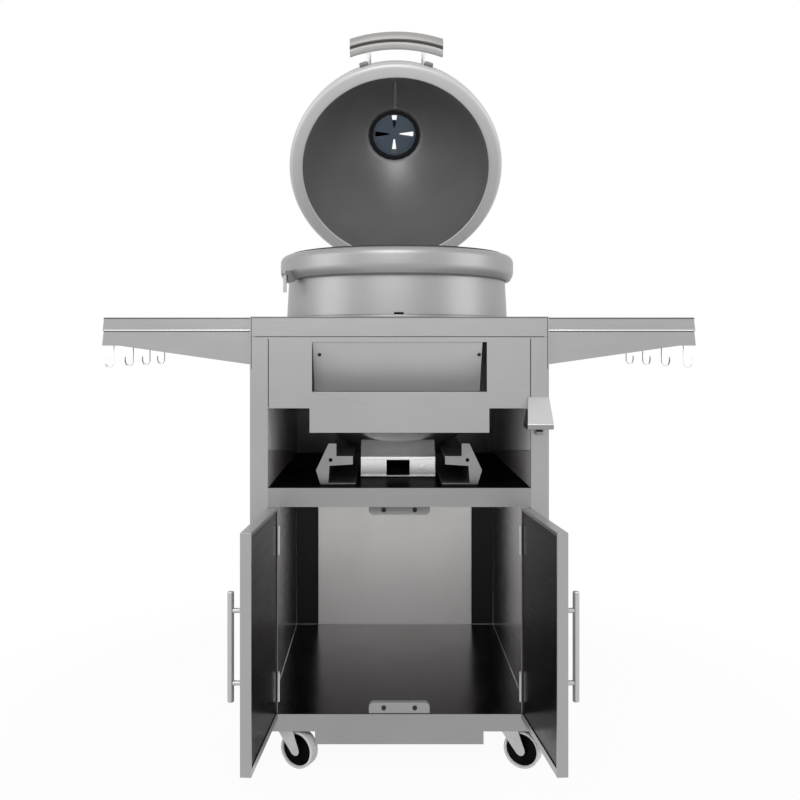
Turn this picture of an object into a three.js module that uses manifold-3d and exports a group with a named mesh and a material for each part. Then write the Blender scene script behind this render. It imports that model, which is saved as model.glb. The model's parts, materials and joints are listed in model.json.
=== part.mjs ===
// Kamado grill table: a steel cabinet on casters with two doors and two side shelves,
// and a thick-walled kamado that stands in its worktop with the lid open.
// Units are millimetres. X runs to the right, Y to the rear and Z up.
// Inside the groups, Y starts at the cabinet's front face and Z at the ground.
import * as THREE from 'three';
import { mergeVertices } from 'three/addons/utils/BufferGeometryUtils.js';
import Module from 'manifold-3d';

const wasm = await Module();
wasm.setup();

// Sizes shared by all pieces
const FIT = 0.3; // gap between pieces that bear on each other
const SHEET = 1.5; // folded sheet metal
const OVERRUN = 20; // how far a cutting solid passes the faces that it cuts
const SEGMENTS = 36; // sides of the large turned pieces
const DOME_STEPS = 7; // points along the curve of the lid
const BOWL_STEPS = 6; // points along the curve of the bowl
const COLLAR_SIDES = 20; // sides of the top vent's collar

// Cabinet
const TABLE_HEIGHT = 920;
const FRONT_MARGIN = 70; // from the cabinet's front to the kamado
const BACK_MARGIN = 60;
const LINER_MARGIN = 4; // from the kamado to the liners beside it
const WORKTOP_EDGE = 41;
const WORKTOP_ROUND = 3;
const STILE_WIDTH = 36;
const STILE_RETURN = 25;
const SKIRT_BOTTOM = 53; // lower edge of the side panels and the bottom rail
const BACK_PAN_DEPTH = 9.7;
const FASCIA_HEIGHT = 143;
const FASCIA_HEM = 12;
const TAB_INSET = 119.5; // from the cabinet's side to the fascia's tab
const TAB_DROP = 49;
const WINDOW_INSET = 5; // from the tab's side to the window's
const WINDOW_HEIGHT = 100;
const WINDOW_MARGIN = 10; // from the worktop edge down to the window
const BAY_DROP = 344; // from the tabletop to the bay's floor
const MID_RAIL_HEIGHT = 38;
const MID_RAIL_LIP = 20;
const CABINET_FLOOR = 114;
const BOTTOM_RAIL_SETBACK = 21;
const RAIL_NOTCH_HEIGHT = 26; // room over the wheels as they swivel
const STILE_NOTCH_WIDTH = 12; // the same room at the stiles' feet
const RAIL_NOTCH_REACH = 129; // from the cabinet's side to the rail's deep middle part

// Heat shield behind the window
const SHIELD_GAP = 4.5; // from the window's side to the shield's
const SHIELD_SHIFT = -4; // it stands a little to the left
const SHIELD_LEAN = 60;
const SHIELD_OVERLAP = 8; // how far it reaches past the window, above and below

// Side shelves
const SHELF_REACH = 308; // from the cabinet side to the outer top edge
const SHELF_END_FLARE = 6;
const SHELF_FRONT = 50;
const SHELF_DEPTH = 550;
const SHELF_EDGE = 28;
const SHELF_BRACKET_INNER_DROP = 98; // from the tabletop to the bracket's lowest corner
const SHELF_BRACKET_OUTER_DROP = 58;
const SHELF_BRACKET_FLAT = 33; // flange at the outer end that carries the hooks
const HOOK_COUNT = 4;
const HOOK_INSET = 45; // from the shelf's front edge to the first hook
const HOOK_SETBACK = 11; // from the bracket's outer end to the hook's stem
const HOOK_WIRE = 2.5;
const HOOK_LENGTH = 46;
const HOOK_BEND = 9;
const HOOK_TIP = 12;

// Doors
const DOOR_BOTTOM = 114;
const DOOR_TOP_GAP = 1;
const DOOR_THICKNESS = 20;
const DOOR_SIDE_GAP = 3;
const DOOR_MIDDLE_GAP = 2.5;
const DOOR_OPEN_ANGLES = { left: THREE.MathUtils.degToRad(93.8), right: THREE.MathUtils.degToRad(95.2) };
const DOOR_LIP_BOTTOM = 14;
const DOOR_LIP_TOP = 6;
const DOOR_LIP_SIDE = 5;
const DOOR_LINER_SHEET = 1.2;
const DOOR_PIVOT_DEPTH = 1; // from the door's outer face to the hinge axis
const HANDLE_LENGTH = 196;
const HANDLE_DROP = 208; // from the door's top to the handle's middle
const HANDLE_RADIUS = 6;
const HANDLE_STANDOFF = 24;
const HANDLE_POST_SPACING = 128;
const HANDLE_POST_RADIUS = 4.5;
const HANDLE_EDGE_DISTANCE = 35;
const HINGE_LEAF = 0.8;
const HINGE_HEIGHT = 60;
const HINGE_END_DISTANCE = 65; // from the door's top and bottom to the hinges' middles
const HINGE_KNUCKLE = 1.2;
const HINGE_LEAF_START = 2.6; // from the door's outer face to the leaf's edge
const HINGE_LEAF_DEPTH = 18;
const HINGE_HOOK = 7; // return of the door's leaf onto the inner face

// Magnetic catches
const CATCH_WIDTH = 124;
const CATCH_DEPTH = 14;
const CATCH_HEIGHT = 22;
const UPPER_CATCH_HEIGHT = 20;
const CATCH_ROUND = 9;
const CATCH_SETBACK = 23;

// Bottle opener
const OPENER_WIDTH = 42;
const OPENER_DEPTH = 161; // from the tabletop to its upper edge
const OPENER_DROP = 51;
const OPENER_FLARE = 9; // how much wider its lower end is
const OPENER_REACH = 56;
const OPENER_LIP = 10;
const OPENER_WALL = 3;
const OPENER_CLAW_WIDTH = 14;
const OPENER_CLAW_DROP = 14;

// Casters
const WHEEL_RADIUS = 38;
const WHEEL_WIDTH = 25;
const WHEEL_CROWN = 3;
const WHEEL_HUB_RADIUS = 12;
const WHEEL_WEB_INSET = 6;
const AXLE_RADIUS = 5;
const AXLE_CLEARANCE = 0.3;
const FORK_SHEET = 3;
const FORK_GAP = 2;
const FORK_TRAIL = 28;
const FORK_ARM_RADIUS = 10;
const FORK_ARM_REACH = 20; // from the kingpin to the ends of the arm's top
const FORK_ARM_ARC = [225, 390]; // degrees round the axle that the arm's end covers
const FORK_CROWN_RADIUS = 25;
const FORK_CROWN_HEIGHT = 84; // underside of the fork's crown over the ground
const KINGPIN_RADIUS = 7;
const CASTER_PLATE_WIDTH = 56;
const CASTER_PLATE_DEPTH = 56;
const CASTER_PLATE = 4;
const CASTER_RACE_RADIUS = 22;
const CASTER_INSET = 71; // from the cabinet's side to the kingpin
const CASTER_EDGE = 52; // from the cabinet's front or back to the kingpin
const FRONT_SWIVEL = THREE.MathUtils.degToRad(-28);
const REAR_SWIVEL = THREE.MathUtils.degToRad(28);

// Kamado bowl
const BOWL_RADIUS = 260;
const BOWL_WALL = 31;
const BOWL_STAND = 150; // from the tabletop to the rim
const BOWL_LIFT = 46; // from the bay's floor to the underside
const BOWL_BASE_WALL = 18;
const BOWL_FOOT_RADIUS = 77; // flat part of the underside
const BOWL_BELLY_SHARE = 0.576; // of the bowl's height, at which the straight wall begins
const BOWL_INLET_RADIUS = 40;
const BAND_STEP = 12; // how far the band under the rim stands out
const BAND_DROP = 66; // from the rim to the band's lower edge
const BAND_SLOPE = 23;
const BAND_ROUND = 22;
const GRATE_SEAT = 21; // below the rim
const GRATE_LEDGE = 8; // ledge inside the rim that the grate rests on
const GASKET_THICKNESS = 3.4;
const GASKET_WIDTH = 12;
const HOLE_CLEARANCE = 2;
const TRIM_WIDTH = 9;
const TRIM_HEIGHT = 7;
const PAD_WIDTH = 20;
const PAD_HEIGHT = 4;
const PAD_DEPTH = 3;

// Grates
const GRATE_BAR = 5;
const GRATE_BAR_COUNT = 9;
const GRATE_RING_WIDTH = 8;
const GRATE_CLEARANCE = 1;
const CHARCOAL_GRATE_THICKNESS = 6;
const CHARCOAL_BAR = 8;
const CHARCOAL_BAR_COUNT = 5;

// Lower vent
const VENT_REACH = 169; // from the kamado's axis to the vent's front
const VENT_WIDTH = 162;
const VENT_HEIGHT = 43.5;
const VENT_WALL = 3;
const VENT_SLOPE_DEPTH = 36;
const VENT_SLOPE_RISE = 34;
const VENT_DEPTH = 240;
const VENT_OPENING_WIDTH = 50;
const VENT_OPENING_LOW = 2.5;
const VENT_OPENING_HEIGHT = 37;
const VENT_LIP = 6;
const VENT_LIP_SHEET = 1.5;
const SLIDE_SHEET = 2;
const SLIDE_WIDTH = 54;
const SLIDE_KNOB = 5;

// Cradle rails that carry the bowl
const CRADLE_START = 49;
const CRADLE_SHEET = 3;
const CRADLE_LEDGE = [95, 58]; // its end, from the centre line, and its top, over the bay floor
const CRADLE_LEDGE_HEIGHT = 17;
const CRADLE_WAIST = [143, 38];
const CRADLE_SHOULDER = [145, 84];
const CRADLE_FIN_WIDTH = 16; // of the shoulder's top
const CRADLE_ELBOW = [171, 29];
const CRADLE_FOOT = 162;
const CRADLE_WEB = 146;
const CRADLE_BASE = 89;
const CRADLE_HOLE_RADIUS = 4;
const CRADLE_HOLE = [141, 50];

// Lid
const LID_OPEN_ANGLE = THREE.MathUtils.degToRad(59);
const LID_OVERHANG = 11; // how far the lid's edge passes the bowl's wall
const LID_EDGE_ROUND = 12;
const LID_FLAT_RADIUS = 74;
const LID_OUTER_HEIGHT = 320;
const LID_CROWN_WALL = 30;
const LID_ROUNDNESS_SHARE = 1.8; // 2 makes the dome an ellipse, and more makes it squarer

// Lid hinge
const LID_HINGE_SETBACK = 34; // from the bowl's wall back to the pin
const LID_HINGE_DROP = 35; // from the rim down to the pin
const HINGE_PIN_RADIUS = 6;
const HINGE_PIN_CLEARANCE = 0.3;
const HINGE_EAR = 14;
const HINGE_BARREL_WIDTH = 64;
const HINGE_BARREL_RADIUS = 11;
const HINGE_SIDE_GAP = 0.5;
const HINGE_BASE_DROP = 53; // from the pin to the base's underside
const HINGE_BASE_HEIGHT = 37;
const HINGE_ARM_PAD_LOW = 16;
const HINGE_ARM_PAD_HIGH = 76;
const HINGE_ARM_THICKNESS = 9;

// Lid handle
const GRIP_STANDOFF = 45; // from the lid's edge to the grip's middle
const GRIP_RISE = 45; // over the lid's rim
const GRIP_LENGTH = 225;
const GRIP_ARC_RADIUS = 360;
const GRIP_RADIUS = 22;
const GRIP_ROUND = 21;
const GRIP_POST_X = 67;
const GRIP_POST_RADIUS = 6;
const GRIP_PAD_WIDTH = 28;
const GRIP_PAD_HEIGHT = 16;
const GRIP_PAD_THICKNESS = 4;

// Top vent
const COLLAR_RADIUS = 66;
const COLLAR_WALL = 5;
const COLLAR_RISE = 32; // from the lid's top to the collar's
const COLLAR_FLANGE_RADIUS = 71;
const COLLAR_FLANGE = 5;
const COLLAR_BRIM_RADIUS = 74;
const COLLAR_BRIM = 5;
const DAMPER_SLOTS = 4;
const DAMPER_SHEET = 3;
const DAMPER_HUB_RADIUS = 15;
const DAMPER_SLOT_OUTER = 54;
const DAMPER_SLOT_ANGLE = THREE.MathUtils.degToRad(16);
const DAMPER_RECESS = 16; // from the collar's inner end to its fixed plate
const DAMPER_STEM_RADIUS = 6;
const DAMPER_KNOB_RADIUS = 22;
const DAMPER_KNOB = 12;
const DAMPER_KNOB_GAP = 8;

// Thermometer
const GAUGE_RISE = 215;
const GAUGE_RADIUS = 36;
const GAUGE_DEPTH = 14;
const GAUGE_RIM = 4;
const GAUGE_RECESS = 6;
const GAUGE_STEM_RADIUS = 5;
const GAUGE_STEM_CLEARANCE = 0.4;
const GAUGE_PROBE_LENGTH = 92;
const NEEDLE_REST = THREE.MathUtils.degToRad(135); // its cold stop, from the top of the dial
const NEEDLE_LENGTH = 24;
const NEEDLE_WIDTH = 3;
const NEEDLE_THICKNESS = 1;
const NEEDLE_HUB_RADIUS = 4;

// Side latch
const LATCH_AZIMUTH = THREE.MathUtils.degToRad(-62);
const LATCH_WIDTH = 22;
const LATCH_HEIGHT = 24;
const LATCH_DEPTH = 8;
const LATCH_EAR = 3;
const LATCH_EAR_DEPTH = 7;
const LATCH_PIN_RADIUS = 2;
const LATCH_LEVER_LENGTH = 44;
const LATCH_LEVER_SHEET = 2.5;
const LATCH_EYE_RADIUS = 3.5;

// Values worked out from the sizes above: the cabinet, round the kamado
const OPENING_HALF = BOWL_RADIUS + LINER_MARGIN;
const HALF_WIDTH = OPENING_HALF + STILE_WIDTH;
const INSET_HALF = OPENING_HALF - FIT;
const KAMADO_Y = FRONT_MARGIN + BOWL_RADIUS;
const CABINET_DEPTH = KAMADO_Y + BOWL_RADIUS + BACK_MARGIN;
const BACK_FACE = CABINET_DEPTH - BACK_PAN_DEPTH;
const CARCASS_TOP = TABLE_HEIGHT - WORKTOP_EDGE - FIT;
const BAY_FLOOR = TABLE_HEIGHT - BAY_DROP;
const TAB_HALF = HALF_WIDTH - TAB_INSET;
const WINDOW_HALF = TAB_HALF - WINDOW_INSET;
const SHIELD_HALF = WINDOW_HALF - SHIELD_GAP;
const RAIL_NOTCH_START = HALF_WIDTH - RAIL_NOTCH_REACH;
const SHELF_TOP = TABLE_HEIGHT;
const SHELF_START = HALF_WIDTH + FIT;
const SHELF_END = HALF_WIDTH + SHELF_REACH;
const OPENER_TOP = TABLE_HEIGHT - OPENER_DEPTH;
const CASTER_X = HALF_WIDTH - CASTER_INSET;
const PLATE_TOP = CABINET_FLOOR - SHEET - FIT;

// Doors
const DOOR_TOP = BAY_FLOOR - MID_RAIL_HEIGHT - DOOR_TOP_GAP;
const PIVOT_X = OPENING_HALF - DOOR_SIDE_GAP / 2;
const HANDLE_CENTRE = DOOR_TOP - HANDLE_DROP;
const HINGE_HEIGHTS = { lower: DOOR_BOTTOM + HINGE_END_DISTANCE, upper: DOOR_TOP - HINGE_END_DISTANCE };

// Kamado
const HOLE_RADIUS = BOWL_RADIUS + HOLE_CLEARANCE;
const BOWL_INNER_RADIUS = BOWL_RADIUS - BOWL_WALL;
const RIM_RADIUS = BOWL_INNER_RADIUS + GRATE_LEDGE; // inner edge of the rim and of the lid
const RIM_HEIGHT = TABLE_HEIGHT + BOWL_STAND;
const BOWL_BASE = BAY_FLOOR + BOWL_LIFT;
const BOWL_INNER_BASE = BOWL_BASE + BOWL_BASE_WALL;
const BOWL_BELLY = BOWL_BASE + (RIM_HEIGHT - BOWL_BASE) * BOWL_BELLY_SHARE;
const BOWL_DEPTH = (BOWL_BELLY - BOWL_BASE) / Math.sqrt(1 - (BOWL_FOOT_RADIUS / BOWL_RADIUS) ** 2);
const BAND_RADIUS = BOWL_RADIUS + BAND_STEP;
const BAND_LOW = RIM_HEIGHT - BAND_DROP;
const VENT_FRONT = KAMADO_Y - VENT_REACH;
const LID_RIM = RIM_HEIGHT + GASKET_THICKNESS + 2 * FIT;
const LID_RADIUS = BOWL_RADIUS + LID_OVERHANG;
const LID_INNER_HEIGHT = LID_OUTER_HEIGHT - LID_CROWN_WALL;
const COLLAR_TOP = LID_OUTER_HEIGHT + COLLAR_RISE;
const LID_HINGE_Y = KAMADO_Y + BOWL_RADIUS + LID_HINGE_SETBACK;
const LID_HINGE_Z = RIM_HEIGHT - LID_HINGE_DROP;
const HINGE_BASE_BOTTOM = LID_HINGE_Z - HINGE_BASE_DROP;
const GRIP_DISTANCE = LID_RADIUS + GRIP_STANDOFF; // from the lid's axis

function finish(color, roughness, metalness) {
  return new THREE.MeshStandardMaterial({ color, roughness, metalness });
}

const STEEL = finish(0xacacab, 0.35, 0.9);
const DARK_STEEL = finish(0x3a3638, 0.2, 0.9);
const CAST_METAL = finish(0xb0b0b0, 0.5, 0.6);
const GREY_METAL = finish(0x8e8c8a, 0.4, 0.8);
const BLACK_METAL = finish(0x1c1d20, 0.55, 0.5);
const SLATE_METAL = finish(0x55626e, 0.45, 0.6);
const BRIGHT_METAL = finish(0xd8d8d8, 0.25, 0.95);
const GRATE_STEEL = finish(0x8a8a8c, 0.4, 0.9);
const FELT = finish(0x3c3c3e, 0.95, 0);
const RUBBER = finish(0x141414, 0.7, 0);
const PALE_PLASTIC = finish(0xd9d9d6, 0.5, 0);
const NEEDLE_RED = finish(0xa02a22, 0.5, 0);

// Turns a geometry into a solid whose faces point out
function solidFrom(geometry) {
  geometry.deleteAttribute('normal');
  geometry.deleteAttribute('uv');
  const merged = mergeVertices(geometry);
  const points = merged.attributes.position.array;
  const corners = merged.index.array;
  const a = new THREE.Vector3();
  const b = new THREE.Vector3();
  const c = new THREE.Vector3();
  let volume = 0;
  for (let i = 0; i < corners.length; i += 3) {
    a.fromArray(points, 3 * corners[i]);
    b.fromArray(points, 3 * corners[i + 1]);
    c.fromArray(points, 3 * corners[i + 2]);
    volume += a.dot(b.cross(c));
  }
  const triVerts = Uint32Array.from(corners);
  if (volume < 0) triVerts.reverse();
  const vertProperties = Float32Array.from(points);
  return new wasm.Manifold(new wasm.Mesh({ numProp: 3, vertProperties, triVerts }));
}

function geometryFrom(solid) {
  const mesh = solid.getMesh();
  const geometry = new THREE.BufferGeometry();
  geometry.setAttribute('position', new THREE.BufferAttribute(mesh.vertProperties, mesh.numProp));
  geometry.setIndex(new THREE.BufferAttribute(mesh.triVerts, 1));
  geometry.computeVertexNormals();
  return geometry;
}

function joined(...solids) {
  return solids.reduce((whole, solid) => whole.add(solid));
}

function cut(solid, ...tools) {
  return tools.reduce((left, tool) => left.subtract(tool), solid);
}

// A box between two values on each axis, in either order
function block([x0, x1], [y0, y1], [z0, z1]) {
  const geometry = new THREE.BoxGeometry(Math.abs(x1 - x0), Math.abs(y1 - y0), Math.abs(z1 - z0));
  geometry.translate((x0 + x1) / 2, (y0 + y1) / 2, (z0 + z1) / 2);
  return solidFrom(geometry);
}

// A round bar between two points
function bar(radius, start, end, sides = 16) {
  const from = new THREE.Vector3(...start);
  const direction = new THREE.Vector3(...end).sub(from);
  const geometry = new THREE.CylinderGeometry(radius, radius, direction.length(), sides);
  const turn = new THREE.Quaternion();
  turn.setFromUnitVectors(new THREE.Vector3(0, 1, 0), direction.clone().normalize());
  geometry.applyQuaternion(turn);
  geometry.translate(...from.addScaledVector(direction, 0.5).toArray());
  return solidFrom(geometry);
}

// A solid turned about the Z axis from a profile of [radius, height] points
function turned(profile, segments = SEGMENTS) {
  const points = profile.map(([radius, height]) => new THREE.Vector2(radius, height));
  const geometry = new THREE.LatheGeometry(points, segments);
  geometry.rotateX(Math.PI / 2);
  return solidFrom(geometry);
}

// A closed ring or tube about the Z axis with a rectangular section
function ring(inner, outer, low, high, segments = SEGMENTS) {
  const corners = [[inner, low], [outer, low], [outer, high], [inner, high], [inner, low]];
  return turned(corners, segments);
}

function disc(radius, low, high, segments = SEGMENTS) {
  return turned([[0, low], [radius, low], [radius, high], [0, high]], segments);
}

function extruded(outline, start, end, basis) {
  const shape = new THREE.Shape(outline.map(([u, v]) => new THREE.Vector2(u, v)));
  const geometry = new THREE.ExtrudeGeometry(shape, { depth: end - start, bevelEnabled: false });
  geometry.translate(0, 0, start);
  geometry.applyMatrix4(basis);
  return solidFrom(geometry);
}

const AXIS_X = new THREE.Vector3(1, 0, 0);
const AXIS_Y = new THREE.Vector3(0, 1, 0);
const AXIS_Z = new THREE.Vector3(0, 0, 1);

// An outline of [y, z] points, extruded along X
function alongX(outline, start, end) {
  return extruded(outline, start, end, new THREE.Matrix4().makeBasis(AXIS_Y, AXIS_Z, AXIS_X));
}

// An outline of [x, z] points, extruded along Y
function alongY(outline, start, end) {
  const basis = new THREE.Matrix4().makeBasis(AXIS_X, AXIS_Z, AXIS_Y.clone().negate());
  return extruded(outline, -end, -start, basis);
}

// An outline of [x, y] points, extruded along Z
function alongZ(outline, start, end) {
  return extruded(outline, start, end, new THREE.Matrix4());
}

// The outline of a folded sheet: the given path, and the same path moved to its left
function sheetOutline(path, thickness) {
  const points = path.map(([u, v]) => new THREE.Vector2(u, v));
  const moved = points.map((point, i) => {
    const before = points[Math.max(i - 1, 0)];
    const after = points[Math.min(i + 1, points.length - 1)];
    const arriving = i > 0 ? point.clone().sub(before).normalize() : null;
    const leaving = i < points.length - 1 ? after.clone().sub(point).normalize() : null;
    const first = arriving ?? leaving;
    const second = leaving ?? arriving;
    const normal = new THREE.Vector2(-first.y - second.y, first.x + second.x).normalize();
    const spread = normal.dot(new THREE.Vector2(-first.y, first.x));
    return point.clone().addScaledVector(normal, thickness / spread);
  });
  return [...points, ...moved.reverse()].map((point) => [point.x, point.y]);
}

// A round wire along a curve
function swept(curve, radius, sides, steps) {
  const section = new THREE.Shape(
    cornerArc([0, 0], radius, 0, 360, sides).slice(1).map(([u, v]) => new THREE.Vector2(u, v)),
  );
  return solidFrom(new THREE.ExtrudeGeometry(section, { steps, extrudePath: curve }));
}

function mirrored(outline) {
  return outline.map(([u, v]) => [-u, v]);
}

// Points of a rounded corner about a centre, from one angle to another in degrees
function cornerArc([u, v], radius, from, to, steps) {
  const points = [];
  for (let i = 0; i <= steps; i += 1) {
    const angle = THREE.MathUtils.degToRad(from + ((to - from) * i) / steps);
    points.push([u + radius * Math.cos(angle), v + radius * Math.sin(angle)]);
  }
  return points;
}

function roundedRectangle([u0, u1], [v0, v1], radius, steps = 3) {
  return [
    ...cornerArc([u1 - radius, v1 - radius], radius, 0, 90, steps),
    ...cornerArc([u0 + radius, v1 - radius], radius, 90, 180, steps),
    ...cornerArc([u0 + radius, v0 + radius], radius, 180, 270, steps),
    ...cornerArc([u1 - radius, v0 + radius], radius, 270, 360, steps),
  ];
}

const table = new THREE.Group();

function place(parent, name, solid, material) {
  const mesh = new THREE.Mesh(geometryFrom(solid), material);
  mesh.name = name;
  parent.add(mesh);
}

function pivot(parent, name, position) {
  const group = new THREE.Group();
  group.name = name;
  group.position.set(...position);
  parent.add(group);
  return group;
}

// Kamado shapes that other pieces are cut to

// Height of the bowl's inner surface at a radius, below the straight wall
function bowlInnerHeight(radius) {
  const depth = BOWL_BELLY - BOWL_INNER_BASE;
  return BOWL_BELLY - depth * Math.sqrt(1 - (radius / BOWL_INNER_RADIUS) ** 2);
}

// The bowl's inner curve, from its widest place down to the inlet
function bowlInnerArc() {
  const stop = Math.acos(BOWL_INLET_RADIUS / BOWL_INNER_RADIUS);
  return Array.from({ length: BOWL_STEPS + 1 }, (_, i) => {
    const radius = BOWL_INNER_RADIUS * Math.cos((stop * i) / BOWL_STEPS);
    return [radius, bowlInnerHeight(radius)];
  });
}

function bowlOuterProfile(growth, steps) {
  const radius = BOWL_RADIUS + growth;
  const depth = BOWL_DEPTH + growth;
  const base = BOWL_BASE - growth;
  const flat = Math.asin((BOWL_BELLY - base) / depth);
  const points = [];
  for (let i = 0; i <= steps; i += 1) {
    const angle = flat * (1 - i / steps);
    points.push([radius * Math.cos(angle), BOWL_BELLY - depth * Math.sin(angle)]);
  }
  return points;
}

function bandProfile(growth, steps) {
  const roundCentre = [BAND_RADIUS - BAND_ROUND, RIM_HEIGHT - BAND_ROUND];
  return [
    [BOWL_RADIUS + growth, BAND_LOW - growth],
    [BAND_RADIUS + growth, BAND_LOW + BAND_SLOPE - growth],
    ...cornerArc(roundCentre, BAND_ROUND + growth, 0, 90, steps),
  ];
}

// The space that the closed bowl fills, grown by a clearance
function bowlSpace(growth) {
  const base = bowlOuterProfile(growth, BOWL_STEPS);
  const band = bandProfile(growth, 4);
  return turned([[0, base[0][1]], ...base, ...band, [0, RIM_HEIGHT + growth]]);
}

function atKamado(solid) {
  return solid.translate([0, KAMADO_Y, 0]);
}

const bowlClearance = atKamado(bowlSpace(FIT));

function addCabinet() {
  const edges = alongX(
    [
      [0, CARCASS_TOP + FIT],
      [CABINET_DEPTH, CARCASS_TOP + FIT],
      ...cornerArc([CABINET_DEPTH - WORKTOP_ROUND, TABLE_HEIGHT - WORKTOP_ROUND], WORKTOP_ROUND, 0, 90, 3),
      ...cornerArc([WORKTOP_ROUND, TABLE_HEIGHT - WORKTOP_ROUND], WORKTOP_ROUND, 90, 180, 3),
    ],
    -HALF_WIDTH,
    HALF_WIDTH,
  );
  const underside = block(
    [SHEET - HALF_WIDTH, HALF_WIDTH - SHEET],
    [SHEET, CABINET_DEPTH - SHEET],
    [CARCASS_TOP - OVERRUN, TABLE_HEIGHT - SHEET],
  );
  const hole = atKamado(disc(HOLE_RADIUS, CARCASS_TOP - OVERRUN, TABLE_HEIGHT + OVERRUN));
  place(table, 'worktop', cut(edges, underside, hole), STEEL);

  const tabLow = CARCASS_TOP - FASCIA_HEIGHT - TAB_DROP;
  const sideLow = CARCASS_TOP - FASCIA_HEIGHT;
  const outline = [
    [-INSET_HALF, CARCASS_TOP],
    [-INSET_HALF, sideLow],
    [-TAB_HALF, sideLow],
    [-TAB_HALF, tabLow],
    [TAB_HALF, tabLow],
    [TAB_HALF, sideLow],
    [INSET_HALF, sideLow],
    [INSET_HALF, CARCASS_TOP],
  ];
  const windowTop = CARCASS_TOP - WINDOW_MARGIN;
  const window = block(
    [-WINDOW_HALF, WINDOW_HALF],
    [-OVERRUN, OVERRUN],
    [windowTop - WINDOW_HEIGHT, windowTop],
  );
  const hems = [-1, 1].map((side) =>
    joined(
      block([side * (INSET_HALF - SHEET), side * INSET_HALF], [0, FASCIA_HEM], [sideLow, CARCASS_TOP]),
      block([side * TAB_HALF, side * INSET_HALF], [0, FASCIA_HEM], [sideLow, sideLow + SHEET]),
    ),
  );
  const tabHem = block([-TAB_HALF, TAB_HALF], [0, FASCIA_HEM], [tabLow, tabLow + SHEET]);
  place(table, 'fascia_panel', joined(cut(alongY(outline, 0, SHEET), window), ...hems, tabHem), STEEL);

  const shieldFront = SHEET + FIT;
  const shieldPath = [
    [shieldFront + SHIELD_LEAN, windowTop - WINDOW_HEIGHT - SHIELD_OVERLAP],
    [shieldFront, windowTop],
    [shieldFront, windowTop + SHIELD_OVERLAP],
  ];
  const shieldEnds = [SHIELD_SHIFT - SHIELD_HALF, SHIELD_SHIFT + SHIELD_HALF];
  const shield = alongX(sheetOutline(shieldPath, -SHEET), ...shieldEnds);
  place(table, 'heat_shield', shield, STEEL);

  const railLow = BAY_FLOOR - MID_RAIL_HEIGHT;
  const bayPath = [
    [MID_RAIL_LIP, railLow],
    [0, railLow],
    [0, BAY_FLOOR],
    [BACK_FACE - FIT, BAY_FLOOR],
  ];
  place(table, 'kamado_shelf', alongX(sheetOutline(bayPath, -SHEET), -INSET_HALF, INSET_HALF), DARK_STEEL);

  const floorPath = [
    [BOTTOM_RAIL_SETBACK, SKIRT_BOTTOM],
    [BOTTOM_RAIL_SETBACK, CABINET_FLOOR],
    [BACK_FACE - FIT, CABINET_FLOOR],
  ];
  const floorSheet = alongX(sheetOutline(floorPath, -SHEET), -INSET_HALF, INSET_HALF);
  const notches = [-1, 1].map((side) =>
    block(
      [side * RAIL_NOTCH_START, side * HALF_WIDTH],
      [0, BOTTOM_RAIL_SETBACK + OVERRUN],
      [SKIRT_BOTTOM - OVERRUN, SKIRT_BOTTOM + RAIL_NOTCH_HEIGHT],
    ),
  );
  place(table, 'cabinet_floor', cut(floorSheet, ...notches), DARK_STEEL);

  const backPath = [
    [-INSET_HALF, CABINET_DEPTH],
    [-INSET_HALF, BACK_FACE],
    [INSET_HALF, BACK_FACE],
    [INSET_HALF, CABINET_DEPTH],
  ];
  const backLow = SKIRT_BOTTOM + RAIL_NOTCH_HEIGHT;
  place(table, 'back_panel', alongZ(sheetOutline(backPath, SHEET), backLow, CARCASS_TOP), STEEL);
}

// One side of the cabinet: the outer panel with its stile, and the liner behind the stile's return
function addSide(name, side) {
  const path = [
    [-OPENING_HALF, CABINET_DEPTH],
    [-HALF_WIDTH, CABINET_DEPTH],
    [-HALF_WIDTH, 0],
    [-OPENING_HALF, 0],
    [-OPENING_HALF, STILE_RETURN],
  ];
  const left = sheetOutline(path, SHEET);
  const outline = side < 0 ? left : mirrored(left);
  const footNotches = [0, CABINET_DEPTH].map((y) =>
    block(
      [side * (OPENING_HALF - OVERRUN), side * (OPENING_HALF + STILE_NOTCH_WIDTH)],
      [y - OVERRUN, y + STILE_RETURN + OVERRUN],
      [SKIRT_BOTTOM - OVERRUN, SKIRT_BOTTOM + RAIL_NOTCH_HEIGHT],
    ),
  );
  const panel = cut(alongZ(outline, SKIRT_BOTTOM, CARCASS_TOP), ...footNotches);
  const leaves = Object.values(HINGE_HEIGHTS).map((height) => fixedLeaf(side, height));
  place(table, `${name}_side_panel`, joined(panel, ...leaves), STEEL);
  const liner = block(
    [side * OPENING_HALF, side * (OPENING_HALF + SHEET)],
    [STILE_RETURN + FIT, BACK_FACE],
    [CABINET_FLOOR - SHEET, CARCASS_TOP],
  );
  place(table, `${name}_side_liner`, liner, DARK_STEEL);
}

// Thirds of a hinge's height: the outer two knuckles are fixed, the middle one turns
function hingeThird(height, index) {
  const third = HINGE_HEIGHT / 3;
  const low = height - HINGE_HEIGHT / 2 + index * third;
  return [low + FIT / 2, low + third - FIT / 2];
}

// The hinge leaf welded to the stile's return, with its two knuckles
function fixedLeaf(side, height) {
  const face = side * (OPENING_HALF - HINGE_LEAF);
  const root = side * (OPENING_HALF + SHEET / 2);
  const plateEnd = HINGE_LEAF_START + HINGE_LEAF_DEPTH;
  const span = [height - HINGE_HEIGHT / 2, height + HINGE_HEIGHT / 2];
  const plate = block([root, face], [HINGE_LEAF_START, plateEnd], span);
  const knuckles = [0, 2].map((index) => {
    const [low, high] = hingeThird(height, index);
    const pin = [side * PIVOT_X, DOOR_PIVOT_DEPTH];
    return joined(
      bar(HINGE_KNUCKLE, [...pin, low], [...pin, high], 8),
      block([root, face], [DOOR_PIVOT_DEPTH, plateEnd], [low, high]),
    );
  });
  return joined(plate, ...knuckles);
}

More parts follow.
